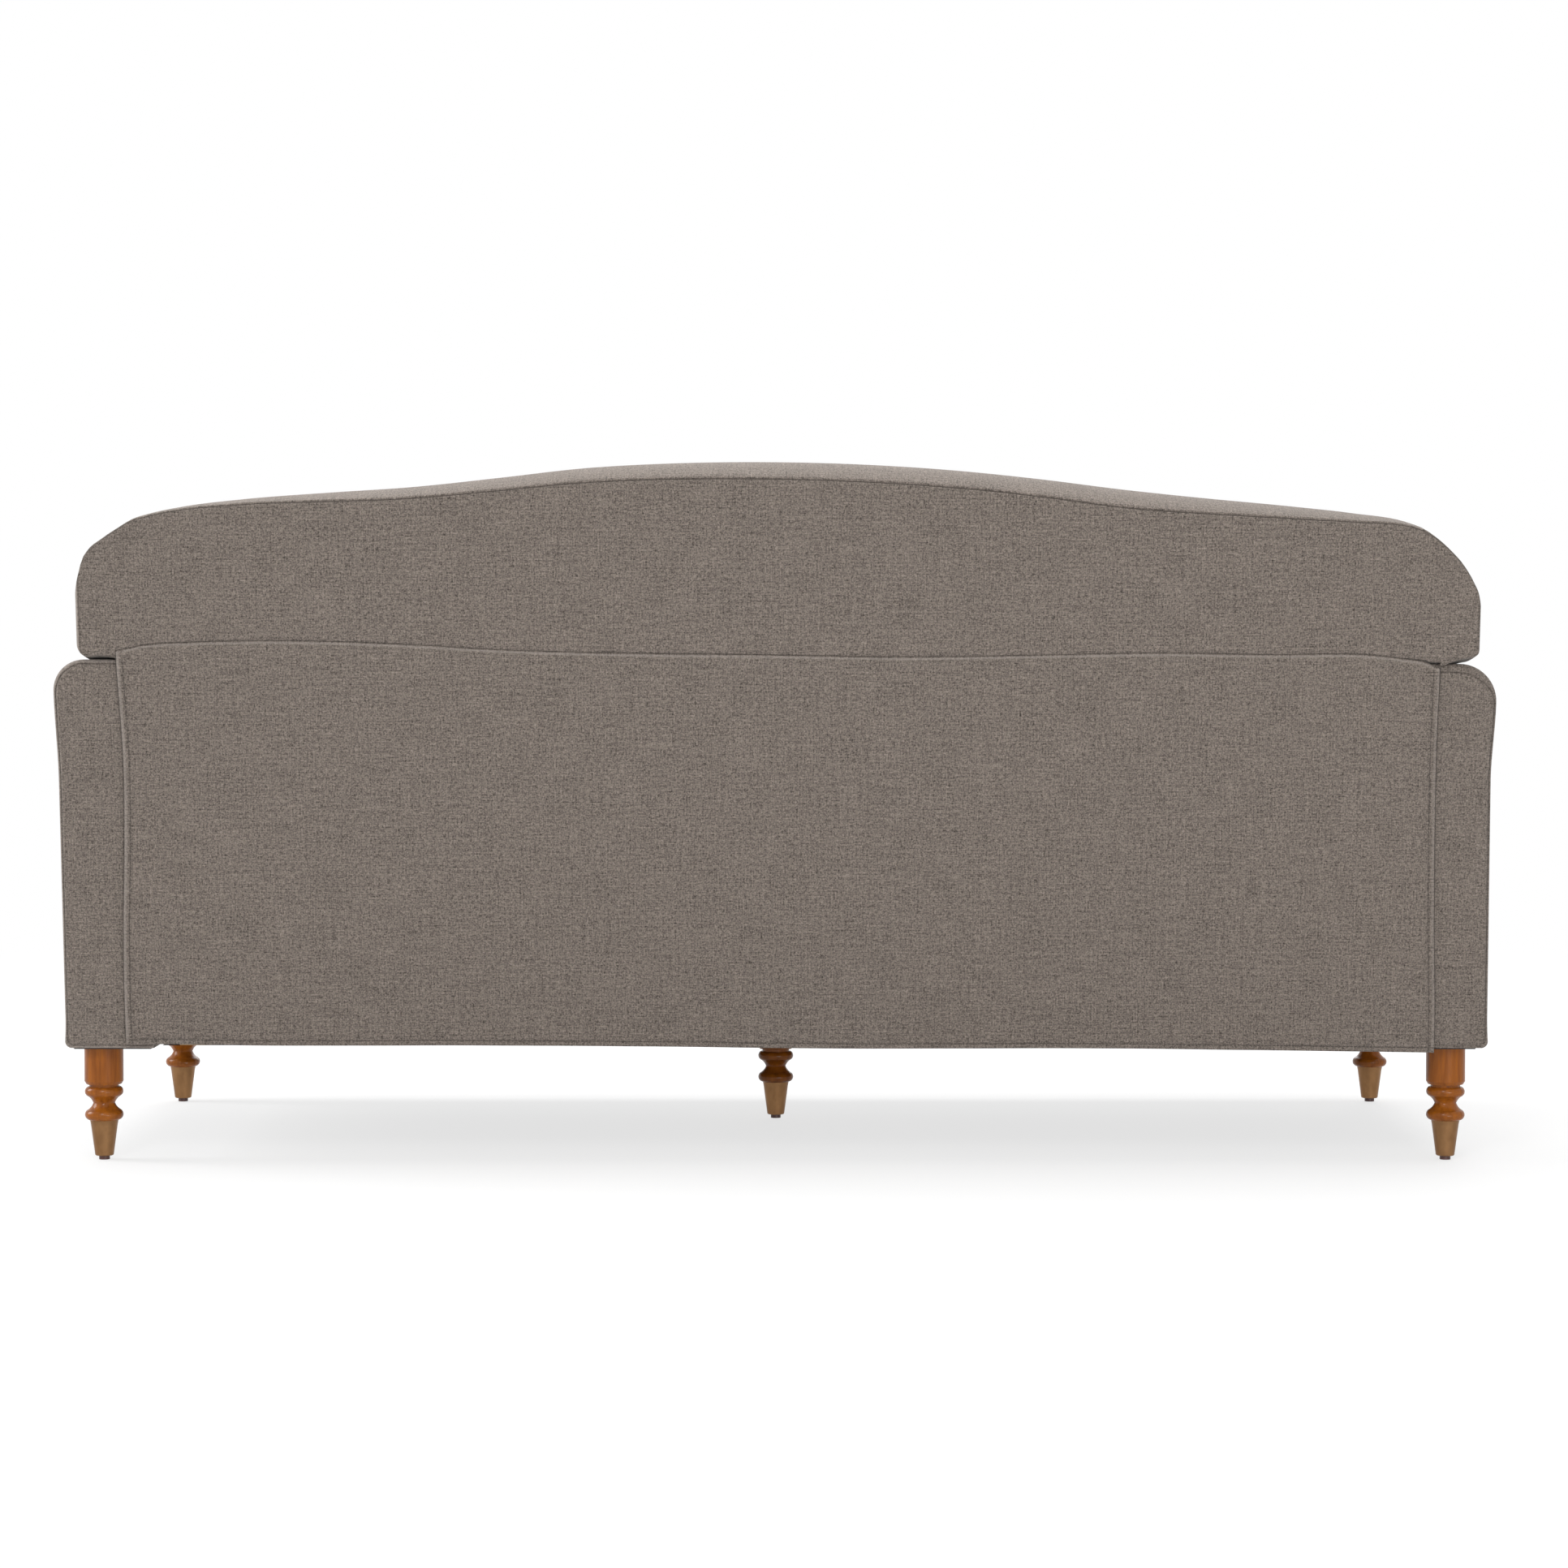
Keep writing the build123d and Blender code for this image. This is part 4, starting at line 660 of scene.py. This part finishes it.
def armForm(side):
    # rings of the profile: drawn towards its middle line on both ends, full along the body
    own, reach = arm["left" if side > 0 else "right"], arm["reach"]
    profile = armProfile(own)
    across, up = profile.T
    top = arm["top"] + own["rise"]
    middle = joined((arm["inner"] + own["side"]) / 2, np.clip(up, up.min() + reach, up.max() - reach))
    crowned = ease((up - (top - arm["crownFrom"])) / arm["crownRun"])
    squared = ease((up - arm["foot"] - arm["squareFrom"]) / arm["squareRun"])
    footing = arm["footSquare"] + (1 - arm["footSquare"]) * squared

    def ends(edge, seam):
        # rings, and depth over (ring, profile): quarter round of the edge, seam groove, puff inside the seam
        turned = edge * (1 - np.cos(np.linspace(0, math.pi / 2, 25)))
        beside = edge + np.linspace(0, arm["beside"], 13)[1:]
        inset = np.concatenate([turned, beside, np.linspace(edge + arm["beside"], reach, 10)[1:]])
        dip = edge - np.sqrt(np.clip(edge ** 2 - np.clip(edge - inset, 0, None) ** 2, 0, None))
        away = inset[:, None] - seam
        sink = arm["groove"] * bell(away, arm["grooveHalf"])
        aboveFoot = ease((up - arm["foot"] - arm["lineFrom"]) / arm["lineRun"])
        # painted shade along the seam groove, weaker on the crown, and a painted highlight beside the seam
        # on the lit side
        line = bell(away, 0.7 * arm["grooveHalf"]) * aboveFoot
        paintedShade = (arm["dark"] - arm["crownPale"] * crowned) * line
        paintedShade = paintedShade - own["fold"] * (1 - line) * ease(-away / arm["foldRun"])
        rings = profile[None] + (middle - profile)[None] * (inset / reach)[:, None, None]
        depth = dip[:, None] * footing + sink - arm["pillow"] * ease(away / arm["pillowRun"])
        return rings[..., 0], rings[..., 1], depth, paintedShade

    rearSeam = own["seamSide"] + (own["seamTop"] - own["seamSide"]) * crowned
    x, z, depth, rearShade = ends(arm["rearRound"], rearSeam)
    rearPanel = joined(x, rearY(z, arm["rearLayer"] + depth), z)
    x, z, depth, frontShade = ends(arm["frontRound"], arm["frontSeamIn"] + 0 * crowned)
    frontPanel = joined(x, arm["frontY"] + depth, z)
    t = np.linspace(0, 1, 60)[:, None]
    y = frontPanel[0, :, 1] * (1 - t) + rearPanel[0, :, 1] * t
    body = joined(across, y, up - pressed(y) * ease((up - top + arm["pressRun"]) / arm["pressRun"]))
    grids = [(body, joined(y, runLength(body, 1))), (rearPanel, rearPanel[..., [0, 2]], rearShade),
             (frontPanel, frontPanel[..., [0, 2]], frontShade)]
    turn = np.array([side, 1, 1])
    return [(points * turn, flat * np.array([side, 1]), *paintedShade) for points, flat, *paintedShade in grids]


for side, word in ((1, "left"), (-1, "right")):
    piece = weldGrids(word + "_arm", armForm(side), cloth)
    dress(piece, "settee_frame", [word + "_arm_cover", word + "_arm_pad"])


# deck and front border: cloth over a thin pad, one section carried across
deck = {"half": 0.7993, "front": -0.411, "edge": 0.022, "top": 0.3, "foot": 0.15, "rear": 0.2815,
        "wall": 0.003, "padFoot": 0.2728, "puff": 0.0022, "endRun": 0.05}


def deckForm():
    # outer line: up the border, round the edge, over the deck; inner line: inside the border, under the pad
    d, q = deck, np.linspace(0, math.pi / 2, 13)
    border = joined(d["front"], np.linspace(d["foot"], d["top"] - d["edge"], 26))
    knee = joined(d["front"] + d["edge"] * (1 - np.cos(q)), d["top"] - d["edge"] * (1 - np.sin(q)))[1:]
    flat = joined(np.linspace(d["front"] + d["edge"], d["rear"], 40)[1:], d["top"])
    outer = np.concatenate([border, knee, flat])
    inner = joined(np.maximum(outer[:, 0], d["front"] + d["wall"]), np.minimum(outer[:, 1], d["padFoot"]))
    inner[: len(border), 0] = d["front"] + d["wall"]
    x = np.linspace(-d["half"], d["half"], 120)[:, None]
    puff = d["puff"] * np.sin(np.pi * np.clip((outer[:, 1] - d["foot"]) / (d["top"] - d["foot"]), 0, 1))
    puff = puff * (outer[:, 0] < d["front"] + d["edge"] / 2) * ease((d["half"] - np.abs(x)) / d["endRun"])
    skin, liner = joined(x, outer[:, 0] - puff, outer[:, 1]), joined(x, *inner.T)
    flatUv = joined(skin[..., 0], runLength(skin, 1))
    return [(skin, flatUv), (liner, flatUv)] + flatOn(rims(skin, liner), 0, 1)


deckPiece = weldGrids("deck_and_border", deckForm(), cloth)
dress(deckPiece, "settee_frame", ["deck_cover", "deck_pad"])


# rear flap: one hemmed sheet sewn along its top edge
def flapPoints(a, b):
    # place of the sheet for a across (0 right, 1 left) and b down (0 seam, 1 hem), and how far its edges are
    x0 = flap["from"] + (flap["to"] - flap["from"]) * a
    top, foot = through(x0, flap["top"]), through(x0, flap["foot"])
    z = top + (foot - top) * b
    left, right = through(z, flap["left"]), through(z, flap["right"])
    x = right + (left - right) * a
    fromSide = np.minimum(x - right, left - x)
    return x, z, fromSide, z - foot, top - z


def sewLine(fromSide, fromFoot, half):
    # 1 along the stitches inside the hem
    return np.maximum(bell(fromSide - flap["stitchIn"], half), bell(fromFoot - flap["stitchUp"], half))


def flapHeight(x, z, fromSide, fromFoot, fromTop):
    # how far the outer face stands off: soft waves in the middle, a raised hem, the stitch line drawn in
    f = flap
    wave = np.sin(7.1 * x + 3.0 * z) * np.sin(5.3 * z + 1.2 * x + 0.6)
    wave = wave + 0.5 * np.sin(13.0 * x - 4.1 * z + 1.0)
    hold = ease(fromSide / f["hold"][0]) * ease(fromFoot / f["hold"][1]) * ease(fromTop / f["hold"][2])
    soft = f["wave"] * (0.9 + 0.45 * wave) * hold
    overHem = ease((np.minimum(fromSide, fromFoot) - f["hem"]) / f["hemRun"])
    hem = f["hemRise"] * (1 - overHem) * ease((fromTop - f["hemFrom"]) / f["hemGrow"])
    nearFoot = 1 - ease(fromFoot / f["rippleRun"])
    ripple = f["ripple"] * np.sin(f["rippleTurn"] * x) * nearFoot * ease(fromSide / f["rippleRun"])
    curl = f["curl"] * bell(fromSide, f["curlHalf"]) * ease(fromTop / f["curlRun"])
    ridge = f["ridge"] * bell(fromTop - f["ridgeIn"], f["ridgeHalf"])
    return soft + hem + ripple + curl + ridge - f["sewSink"] * sewLine(fromSide, fromFoot, f["sewHalf"])


def flapForm():
    # two faces over the same grid that meet at the edges: half thickness t * sqrt(1 - (1 - d / edge)^2)
    near = np.array([0, 0.0003, 0.0008, 0.0016, 0.003, 0.0045, 0.0055, 0.0062, 0.0068, 0.0074, 0.0082,
                     0.0092, 0.0102, 0.0112, 0.0122, 0.014, 0.018, 0.026])

    def places(size, count):
        # shares of a length, close together near both ends
        last = near[-1] / size
        return np.concatenate([near / size, np.linspace(last, 1 - last, count)[1:-1], 1 - near[::-1] / size])

    edges = flapPoints(places(flap["wide"], 150)[:, None], places(flap["tall"], 70)[None, :])
    x, z, fromSide, fromFoot, fromTop = edges
    off = flapHeight(*edges)
    close = rounded(np.minimum(np.minimum(fromSide, fromFoot), fromTop), flap["edge"])
    outerLayer = flap["outer"] - off
    innerLayer = flap["inner"] - np.clip(off - flap["innerKeep"] * flap["hemRise"], 0, None)
    middle = (outerLayer + innerLayer) / 2
    # painted shade along the top seam and the stitch line, and painted highlight on the folded side and top
    # edges of the hem
    topLine = flap["topDark"] * bell(np.clip(fromTop, 0, None), flap["lineHalf"])
    paintedShade = np.maximum(flap["sewDark"] * sewLine(fromSide, fromFoot, flap["lineHalf"]), topLine)
    pale = np.where(x > 0, flap["sidePale"]["left"], flap["sidePale"]["right"])
    sideHighlight = pale * bell(fromSide - flap["sideHighlightIn"], flap["sideHighlightHalf"])
    topHighlight = flap["topPale"] * bell(fromTop - flap["topHighlightIn"], flap["topHighlightHalf"])
    fold = np.maximum(sideHighlight, topHighlight)
    paintedShade = paintedShade - fold * (1 - paintedShade) * (fromFoot > flap["foldFoot"])
    faces = [joined(x, rearY(z, middle + (layer - middle) * close), z) for layer in (outerLayer, innerLayer)]
    return [(face, face[..., [0, 2]], paintedShade) for face in faces]


flapPiece = weldGrids("rear_flap_cloth", flapForm(), cloth)
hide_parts("rear_flap")


stitch = {"pitch": 0.005, "long": 0.0017, "wide": 0.0007, "high": 0.0003, "lift": 0.0001,
          "side": (0.15, 0.648), "foot": (-0.838, 0.824), "clearFoot": 0.004, "clearTop": 0.006,
          # the cord values place the dark cord of painted shadow beside the flap's side edges
          "cord": 0.0009, "cordOut": 0.0003, "cordLayer": 0.0014, "cordFoot": 0.158,
          "cordHead": {"left": 0.652, "right": 0.64}}


def stitchForm():
    # short rounded stitches: along * l * cos(v), across and out * r * sin(v), set end to end round the hem
    s, rows = stitch, []
    for edge, inside in (("left", -1), ("right", 1)):
        z = np.arange(*s["side"], s["pitch"])
        x = through(z, flap[edge]) + inside * flap["stitchIn"]
        keep = z > through(x, flap["foot"]) + s["clearFoot"]
        keep = keep & (z < through(x, flap["top"]) - s["clearTop"])
        rows.append((x[keep], z[keep], upSlope))
    x = np.arange(*s["foot"], s["pitch"])
    rows.append((x, through(x, flap["foot"]) + flap["stitchUp"], np.array([1.0, 0.0, 0.0])))
    v = np.linspace(0, math.pi, 5)[:, None]
    w = np.linspace(0, 2 * math.pi, 7)[None, :]
    grids = []
    for x, z, along in rows:
        top, foot = through(x, flap["top"]), through(x, flap["foot"])
        fromSide = np.minimum(x - through(z, flap["right"]), through(z, flap["left"]) - x)
        stand = flapHeight(x, z, fromSide, z - foot, top - z) + s["lift"]
        shape = (s["long"] * np.cos(v) * np.ones_like(w))[..., None] * along
        shape = shape + (s["wide"] * np.sin(v) * np.cos(w))[..., None] * np.cross(along, outward)
        shape = shape + (s["high"] * np.sin(v) * np.sin(w))[..., None] * outward
        centre = joined(x, rearY(z, flap["outer"] - stand), z)
        grids += flatOn([c + shape for c in centre], 0, 2)
    # painted shadow along the side edges: a dark round cord of radius r carried down each side, just outside
    # the cloth, where the flap's edge stands off the arm
    for edge, out in (("left", 1), ("right", -1)):
        z = np.linspace(s["cordFoot"], s["cordHead"][edge], 120)[:, None]
        x = through(z, flap[edge]) + out * (s["cordOut"] + s["cord"] * np.cos(w))
        cord = joined(x, rearY(z, s["cordLayer"] + s["cord"] * np.sin(w)), z)
        ends = [np.stack([cord[e], np.broadcast_to(cord[e].mean(0), cord[e].shape)]) for e in (0, -1)]
        grids += flatOn([cord, *ends], 0, 2)
    return grids


# the stitches and the cords of painted shadow, in one piece
stitchPiece = weldGrids("flap_topstitch", stitchForm(), thread, weld=1e-6)
for piece in (flapPiece, stitchPiece):
    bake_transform(piece)
print("flap:", len(flapPiece.data.polygons), "faces, stitches:", len(stitchPiece.data.polygons), "faces")


# dust covers: thin felt under the seat and the arms, open round the legs
dust = {"z": 0.1488, "half": 0.00035, "hem": 0.0005, "hemFrom": 0.86, "hemRun": 0.06, "sharp": 60,
        "sag": 0.0035, "sagReach": 0.4, "leastSag": 0.1, "seat": (-0.7962, 0.7962, -0.4076, 0.279),
        "armX": (0.8034, 0.9045), "armY": (-0.4115, 0.3178), "legX": 0.873, "legY": (-0.364, 0.2763),
        "legRound": 0.0285, "centreLeg": (0.0, -0.1655)}


def feltPanel(box, hole, across, along):
    # from the hole's rim to the panel's edge: rim * (1 - s) + edge * s, hanging sag * sin(pi s)
    x0, x1, y0, y1 = box
    edge = np.concatenate([
        joined(np.linspace(x0, x1, across + 1)[:-1], y0), joined(x1, np.linspace(y0, y1, along + 1)[:-1]),
        joined(np.linspace(x1, x0, across + 1)[:-1], y1), joined(x0, np.linspace(y1, y0, along + 1))])
    way = edge - np.array(hole)
    far = np.linalg.norm(way, axis=1)
    rim = np.array(hole) + dust["legRound"] * way / far[:, None]
    s = np.linspace(0, 1, 22)[:, None]
    flat = rim[None] * (1 - s[..., None]) + edge[None] * s[..., None]
    drop = dust["sag"] * np.sin(np.pi * s) * np.clip(far / dust["sagReach"], dust["leastSag"], 1)[None, :]
    thick = dust["half"] + dust["hem"] * ease((s - dust["hemFrom"]) / dust["hemRun"])
    thin = thick * np.minimum(1, np.minimum(s, 1 - s) * dust["sharp"])
    return [(joined(flat[..., 0], flat[..., 1], dust["z"] - drop + side * thin), flat) for side in (-1, 1)]


for name, side in (("dust_cover_left_arm", 1), ("dust_cover_right_arm", -1), ("dust_cover_seat", 0)):
    if side:
        split = (dust["legY"][0] + dust["legY"][1]) / 2
        xs = sorted((side * dust["armX"][0], side * dust["armX"][1]))
        panels = feltPanel((*xs, dust["armY"][0], split), (side * dust["legX"], dust["legY"][0]), 16, 40)
        panels += feltPanel((*xs, split, dust["armY"][1]), (side * dust["legX"], dust["legY"][1]), 16, 40)
    else:
        panels = feltPanel(dust["seat"], dust["centreLeg"], 90, 44)
    hides = [] if side else ["dust_covers"]
    piece = dress(weldGrids(name, panels, dustFelt), "settee_frame", hides)


# seat cushions: a boxed form blown up as cloth, then trimmed to its place and seamed
cushion = {"right": 0.001, "left": 0.7985, "front": -0.4235, "rear": 0.149, "foot": 0.3004,
           "top": 0.476, "rearLean": math.tan(math.radians(7.5)), "start": 0.014, "sideShare": 0.8,
           "lower": 0.002, "draw": 0.006, "planPower": 0.1, "edgePower": 0.15, "topPower": 0.26,
           "voxel": 0.0075, "pressure": 1.3, "frames": 14, "quality": 4, "stretch": 25, "bend": 0.6,
           "cap": 0.026, "room": 0.01, "footRoom": 0.004, "topSpare": 0.004, "rearSpare": 0.0008,
           "groove": 0.0024, "grooveHalf": 0.0035, "upright": (0.05, 0.25)}


def cushionStart():
    # superellipsoid: sign(cos)|cos|^e in plan and height, with sides drawn in between the corners
    c, s = cushion, cushion["start"]
    u = np.linspace(-math.pi / 2, math.pi / 2, 61)[None, :]
    v = np.linspace(0, 2 * math.pi, 161)[:, None]

    def power(t, e):
        return np.sign(t) * np.abs(t) ** e

    px = power(np.cos(u), c["edgePower"]) * power(np.cos(v), c["planPower"])
    py = power(np.cos(u), c["edgePower"]) * power(np.sin(v), c["planPower"])
    pz = power(np.sin(u), c["topPower"]) + 0 * v
    low, high = np.array([c["right"], c["front"], c["foot"]]), np.array([c["left"], c["rear"], c["top"]])
    half = (high - low) / 2 - s * np.array([c["sideShare"], c["sideShare"], 1.0])
    centre = (high + low) / 2 - np.array([0.0, 0.0, c["lower"]])
    x = centre[0] + px * (half[0] - c["draw"] * (1 - py ** 2))
    y = centre[1] + py * (half[1] - c["draw"] * (1 - px ** 2))
    z = centre[2] + pz * half[2]
    y = y + np.clip(py, 0, 1) * (z - c["foot"]) * c["rearLean"]
    return joined(x, y, z)


def coordsOf(mesh):
    co = np.empty(len(mesh.vertices) * 3, np.float32)
    mesh.vertices.foreach_get("co", co)
    return co.reshape(-1, 3).astype(float)


def evaluatedMesh(piece):
    graph = bpy.context.evaluated_depsgraph_get()
    graph.update()
    return bpy.data.meshes.new_from_object(piece.evaluated_get(graph))


def blowUp(piece):
    # voxel remesh, then pressure on cloth with no weight; each point moves no further than the cap
    voxels = piece.modifiers.new("voxels", "REMESH")
    voxels.mode, voxels.voxel_size = "VOXEL", cushion["voxel"]
    mesh = evaluatedMesh(piece)
    piece.modifiers.clear()
    piece.data = mesh
    rest = coordsOf(mesh)
    soft = piece.modifiers.new("soft", "CLOTH")
    soft.settings.use_pressure = True
    soft.settings.uniform_pressure_force = cushion["pressure"]
    soft.settings.effector_weights.gravity = 0
    soft.settings.quality = cushion["quality"]
    soft.settings.tension_stiffness = soft.settings.compression_stiffness = cushion["stretch"]
    soft.settings.bending_stiffness = cushion["bend"]
    soft.point_cache.frame_start, soft.point_cache.frame_end = 1, cushion["frames"]
    for step in range(1, cushion["frames"] + 1):
        scene.frame_set(step)
    moved = coordsOf(evaluatedMesh(piece)) - rest
    piece.modifiers.clear()
    scene.frame_set(1)
    far = np.linalg.norm(moved, axis=1, keepdims=True)
    moved *= np.minimum(1, cushion["cap"] / np.maximum(far, 1e-9))
    most = round(float(far.max()) * 1000, 1)
    print("cushion swelled by up to", most, "mm, capped at", cushion["cap"] * 1000)
    mesh.vertices.foreach_set("co", (rest + moved).astype(np.float32).ravel())
    mesh.update()


def trimmed(co):
    # softly held in its place: limit - room * (1 - exp(-(limit - p) / room)) near a neighbour
    c = cushion

    def held(value, limit, sign, room=c["room"]):
        gap = (limit - value) * sign
        return np.where(gap < room, limit - sign * room * np.exp(np.clip(gap, -0.2, room) / room - 1), value)

    x = held(held(co[:, 0], c["left"], 1), c["right"], -1)
    z = held(held(co[:, 2], c["top"] + c["topSpare"], 1), c["foot"], -1, c["footRoom"])
    y = held(co[:, 1], c["front"], -1)
    rearLimit = c["rear"] - c["rearSpare"] + (z - c["foot"]) * c["rearLean"]
    return joined(x, held(y, rearLimit, 1), z)


def seamed(mesh):
    # two sewn lines round the boxing: depth * exp(-(dz / half)^2) along the normal where a side faces out
    co = coordsOf(mesh)
    normal = np.empty(len(co) * 3, np.float32)
    mesh.vertices.foreach_get("normal", normal)
    normal = normal.reshape(-1, 3)
    least, run = cushion["upright"]
    upright = ease((1 - np.abs(normal[:, 2]) - least) / run)
    sink = sum(bell(co[:, 2] - height, cushion["grooveHalf"]) for height in cushionSeams)
    co -= normal * (cushion["groove"] * sink * upright)[:, None]
    mesh.vertices.foreach_set("co", co.astype(np.float32).ravel())
    mesh.update()


def boxFlat(mesh):
    # UV by the way each face looks: (x, z), (y, z) or (x, y), in metres
    count = len(mesh.loops)
    corner = np.empty(count, np.int32)
    mesh.loops.foreach_get("vertex_index", corner)
    total = np.empty(len(mesh.polygons), np.int32)
    mesh.polygons.foreach_get("loop_total", total)
    facing = np.empty(len(mesh.polygons) * 3, np.float32)
    mesh.polygons.foreach_get("normal", facing)
    axis = np.repeat(np.abs(facing.reshape(-1, 3)).argmax(1), total)
    co = coordsOf(mesh)[corner]
    pick = np.array([[1, 2], [0, 2], [0, 1]])[axis]
    flat = np.take_along_axis(co, pick, 1)
    layer = mesh.uv_layers.get("weave") or mesh.uv_layers.new(name="weave")
    layer.data.foreach_set("uv", flat.astype(np.float32).ravel())


start = cushionStart()
leftCushion = weldGrids("left_cushion_pad", [(start, start[..., [0, 1]])], cushionCloth)
blowUp(leftCushion)
finer = leftCushion.modifiers.new("finer", "SUBSURF")
finer.levels = finer.render_levels = 1
mesh = evaluatedMesh(leftCushion)
leftCushion.modifiers.clear()
leftCushion.data = mesh
mesh.vertices.foreach_set("co", trimmed(coordsOf(mesh)).astype(np.float32).ravel())
mesh.update()
seamed(mesh)
mirrored = mesh.copy()
mirrored.transform(Matrix.Diagonal((-1, 1, 1, 1)))
mirrored.flip_normals()
rightCushion = bpy.data.objects.new("right_cushion_pad", mirrored)
scene.collection.objects.link(rightCushion)
for piece, word in ((leftCushion, "left"), (rightCushion, "right")):
    piece.data.polygons.foreach_set("use_smooth", np.ones(len(piece.data.polygons), bool))
    piece.data.materials.clear()
    piece.data.materials.append(cushionCloth)
    boxFlat(piece.data)
    dress(piece, word + "_cushion", [word + "_cushion_cover", word + "_cushion_core"])


# camera, floor and light
view = {"place": (-0.01733, 5.17571, 0.65624), "down": 1.95784, "turn": 180.06064, "lens": 86.701,
        "sensor": 36.0, "far": 200.0}
camera = bpy.data.objects.new("camera", bpy.data.cameras.new("camera"))
camera.data.lens, camera.data.sensor_width, camera.data.clip_end = view["lens"], view["sensor"], view["far"]
camera.location = view["place"]
camera.rotation_euler = (math.radians(90 - view["down"]), 0.0, math.radians(view["turn"]))
scene.collection.objects.link(camera)
scene.camera = camera

# a lamp is its place, what it looks at, its width and height, and its power
studio = {"skyLevel": 0.5, "floorTone": 0.8, "seenGlow": 0.72, "seenTone": 0.27, "fade": (1.5, 3.6),
          "floorHalf": 60, "floorZ": -0.0004,
          "lamps": {"overhead": ((0.0, -0.3, 3.4), (0.0, 0.0, 0.6), 4.5, 2.4, 120.0),
                    "behind_camera": ((0.3, 6.5, 2.6), (0.0, 0.3, 0.5), 5.0, 3.0, 84.0),
                    "key": ((0.9, 4.6, 3.2), (0.0, 0.3, 0.5), 1.1, 1.1, 50.0),
                    "left_side": ((4.2, -0.3, 2.0), (0.8, 0.1, 0.5), 1.8, 1.8, 95.0),
                    "low_fill": ((-1.8, 4.2, 0.26), (-0.1, -0.1, 0.1), 1.8, 0.34, 34.0),
                    "seat_side": ((-1.0, -5.5, 2.8), (0.0, 0.0, 0.5), 4.0, 3.0, 95.0)}}


def seenBySight(tree):
    # 1 for camera, mirror and glass rays, 0 for the rays that light the object
    path = put(tree, "LightPath").outputs
    sight = combine("MAXIMUM", path["Is Camera Ray"], path["Is Glossy Ray"])
    return combine("MAXIMUM", sight, path["Is Transmission Ray"])


def plain(tree, kind, tone, **inputs):
    # a shader of one grey
    return put(tree, kind, Color=(tone, tone, tone, 1), **inputs).outputs[0]


def mixShaders(factor, a, b):
    return put(factor.id_data, "MixShader", n0=factor, n1=a, n2=b).outputs[0]


def makeStage():
    h, z = studio["floorHalf"], studio["floorZ"]
    floorMesh = bpy.data.meshes.new("floor")
    floorMesh.from_pydata([(-h, -h, z), (h, -h, z), (h, h, z), (-h, h, z)], [], [(0, 1, 2, 3)])
    floor = bpy.data.objects.new("floor", floorMesh)
    scene.collection.objects.link(floor)
    material = bpy.data.materials.new("pale_floor")
    material.use_nodes = True
    tree = material.node_tree
    tree.nodes.clear()
    bounce = plain(tree, "BsdfDiffuse", studio["floorTone"])
    shade = plain(tree, "BsdfDiffuse", studio["seenTone"])
    glow = plain(tree, "Emission", 1, Strength=studio["seenGlow"])
    near = put(tree, "AddShader", n0=shade, n1=glow).outputs[0]
    clear = plain(tree, "Emission", 1, Strength=1.0)
    coord = put(tree, "TexCoord").outputs["Object"]
    away = put(tree, "VectorMath", {"operation": "LENGTH"}, n0=coord).outputs["Value"]
    sight = mixShaders(between(away, *studio["fade"]), near, clear)
    put(tree, "OutputMaterial", Surface=mixShaders(seenBySight(tree), bounce, sight))
    floorMesh.materials.append(material)
    world = scene.world or bpy.data.worlds.new("studio")
    scene.world = world
    world.use_nodes = True
    tree = world.node_tree
    tree.nodes.clear()
    sky = plain(tree, "Background", 1, Strength=studio["skyLevel"])
    white = plain(tree, "Background", 1, Strength=1.0)
    put(tree, "OutputWorld", Surface=mixShaders(seenBySight(tree), sky, white))


makeStage()
for name, (place, target, wide, tall, power) in studio["lamps"].items():
    lamp = bpy.data.lights.new(name, "AREA")
    lamp.shape, lamp.size, lamp.size_y, lamp.energy = "RECTANGLE", wide, tall, power
    holder = bpy.data.objects.new(name, lamp)
    holder.location = place
    aim = Vector(target) - holder.location
    holder.rotation_euler = aim.to_track_quat("-Z", "Y").to_euler()
    scene.collection.objects.link(holder)
scene.view_settings.view_transform = "Standard"
print("camera, floor and light set")
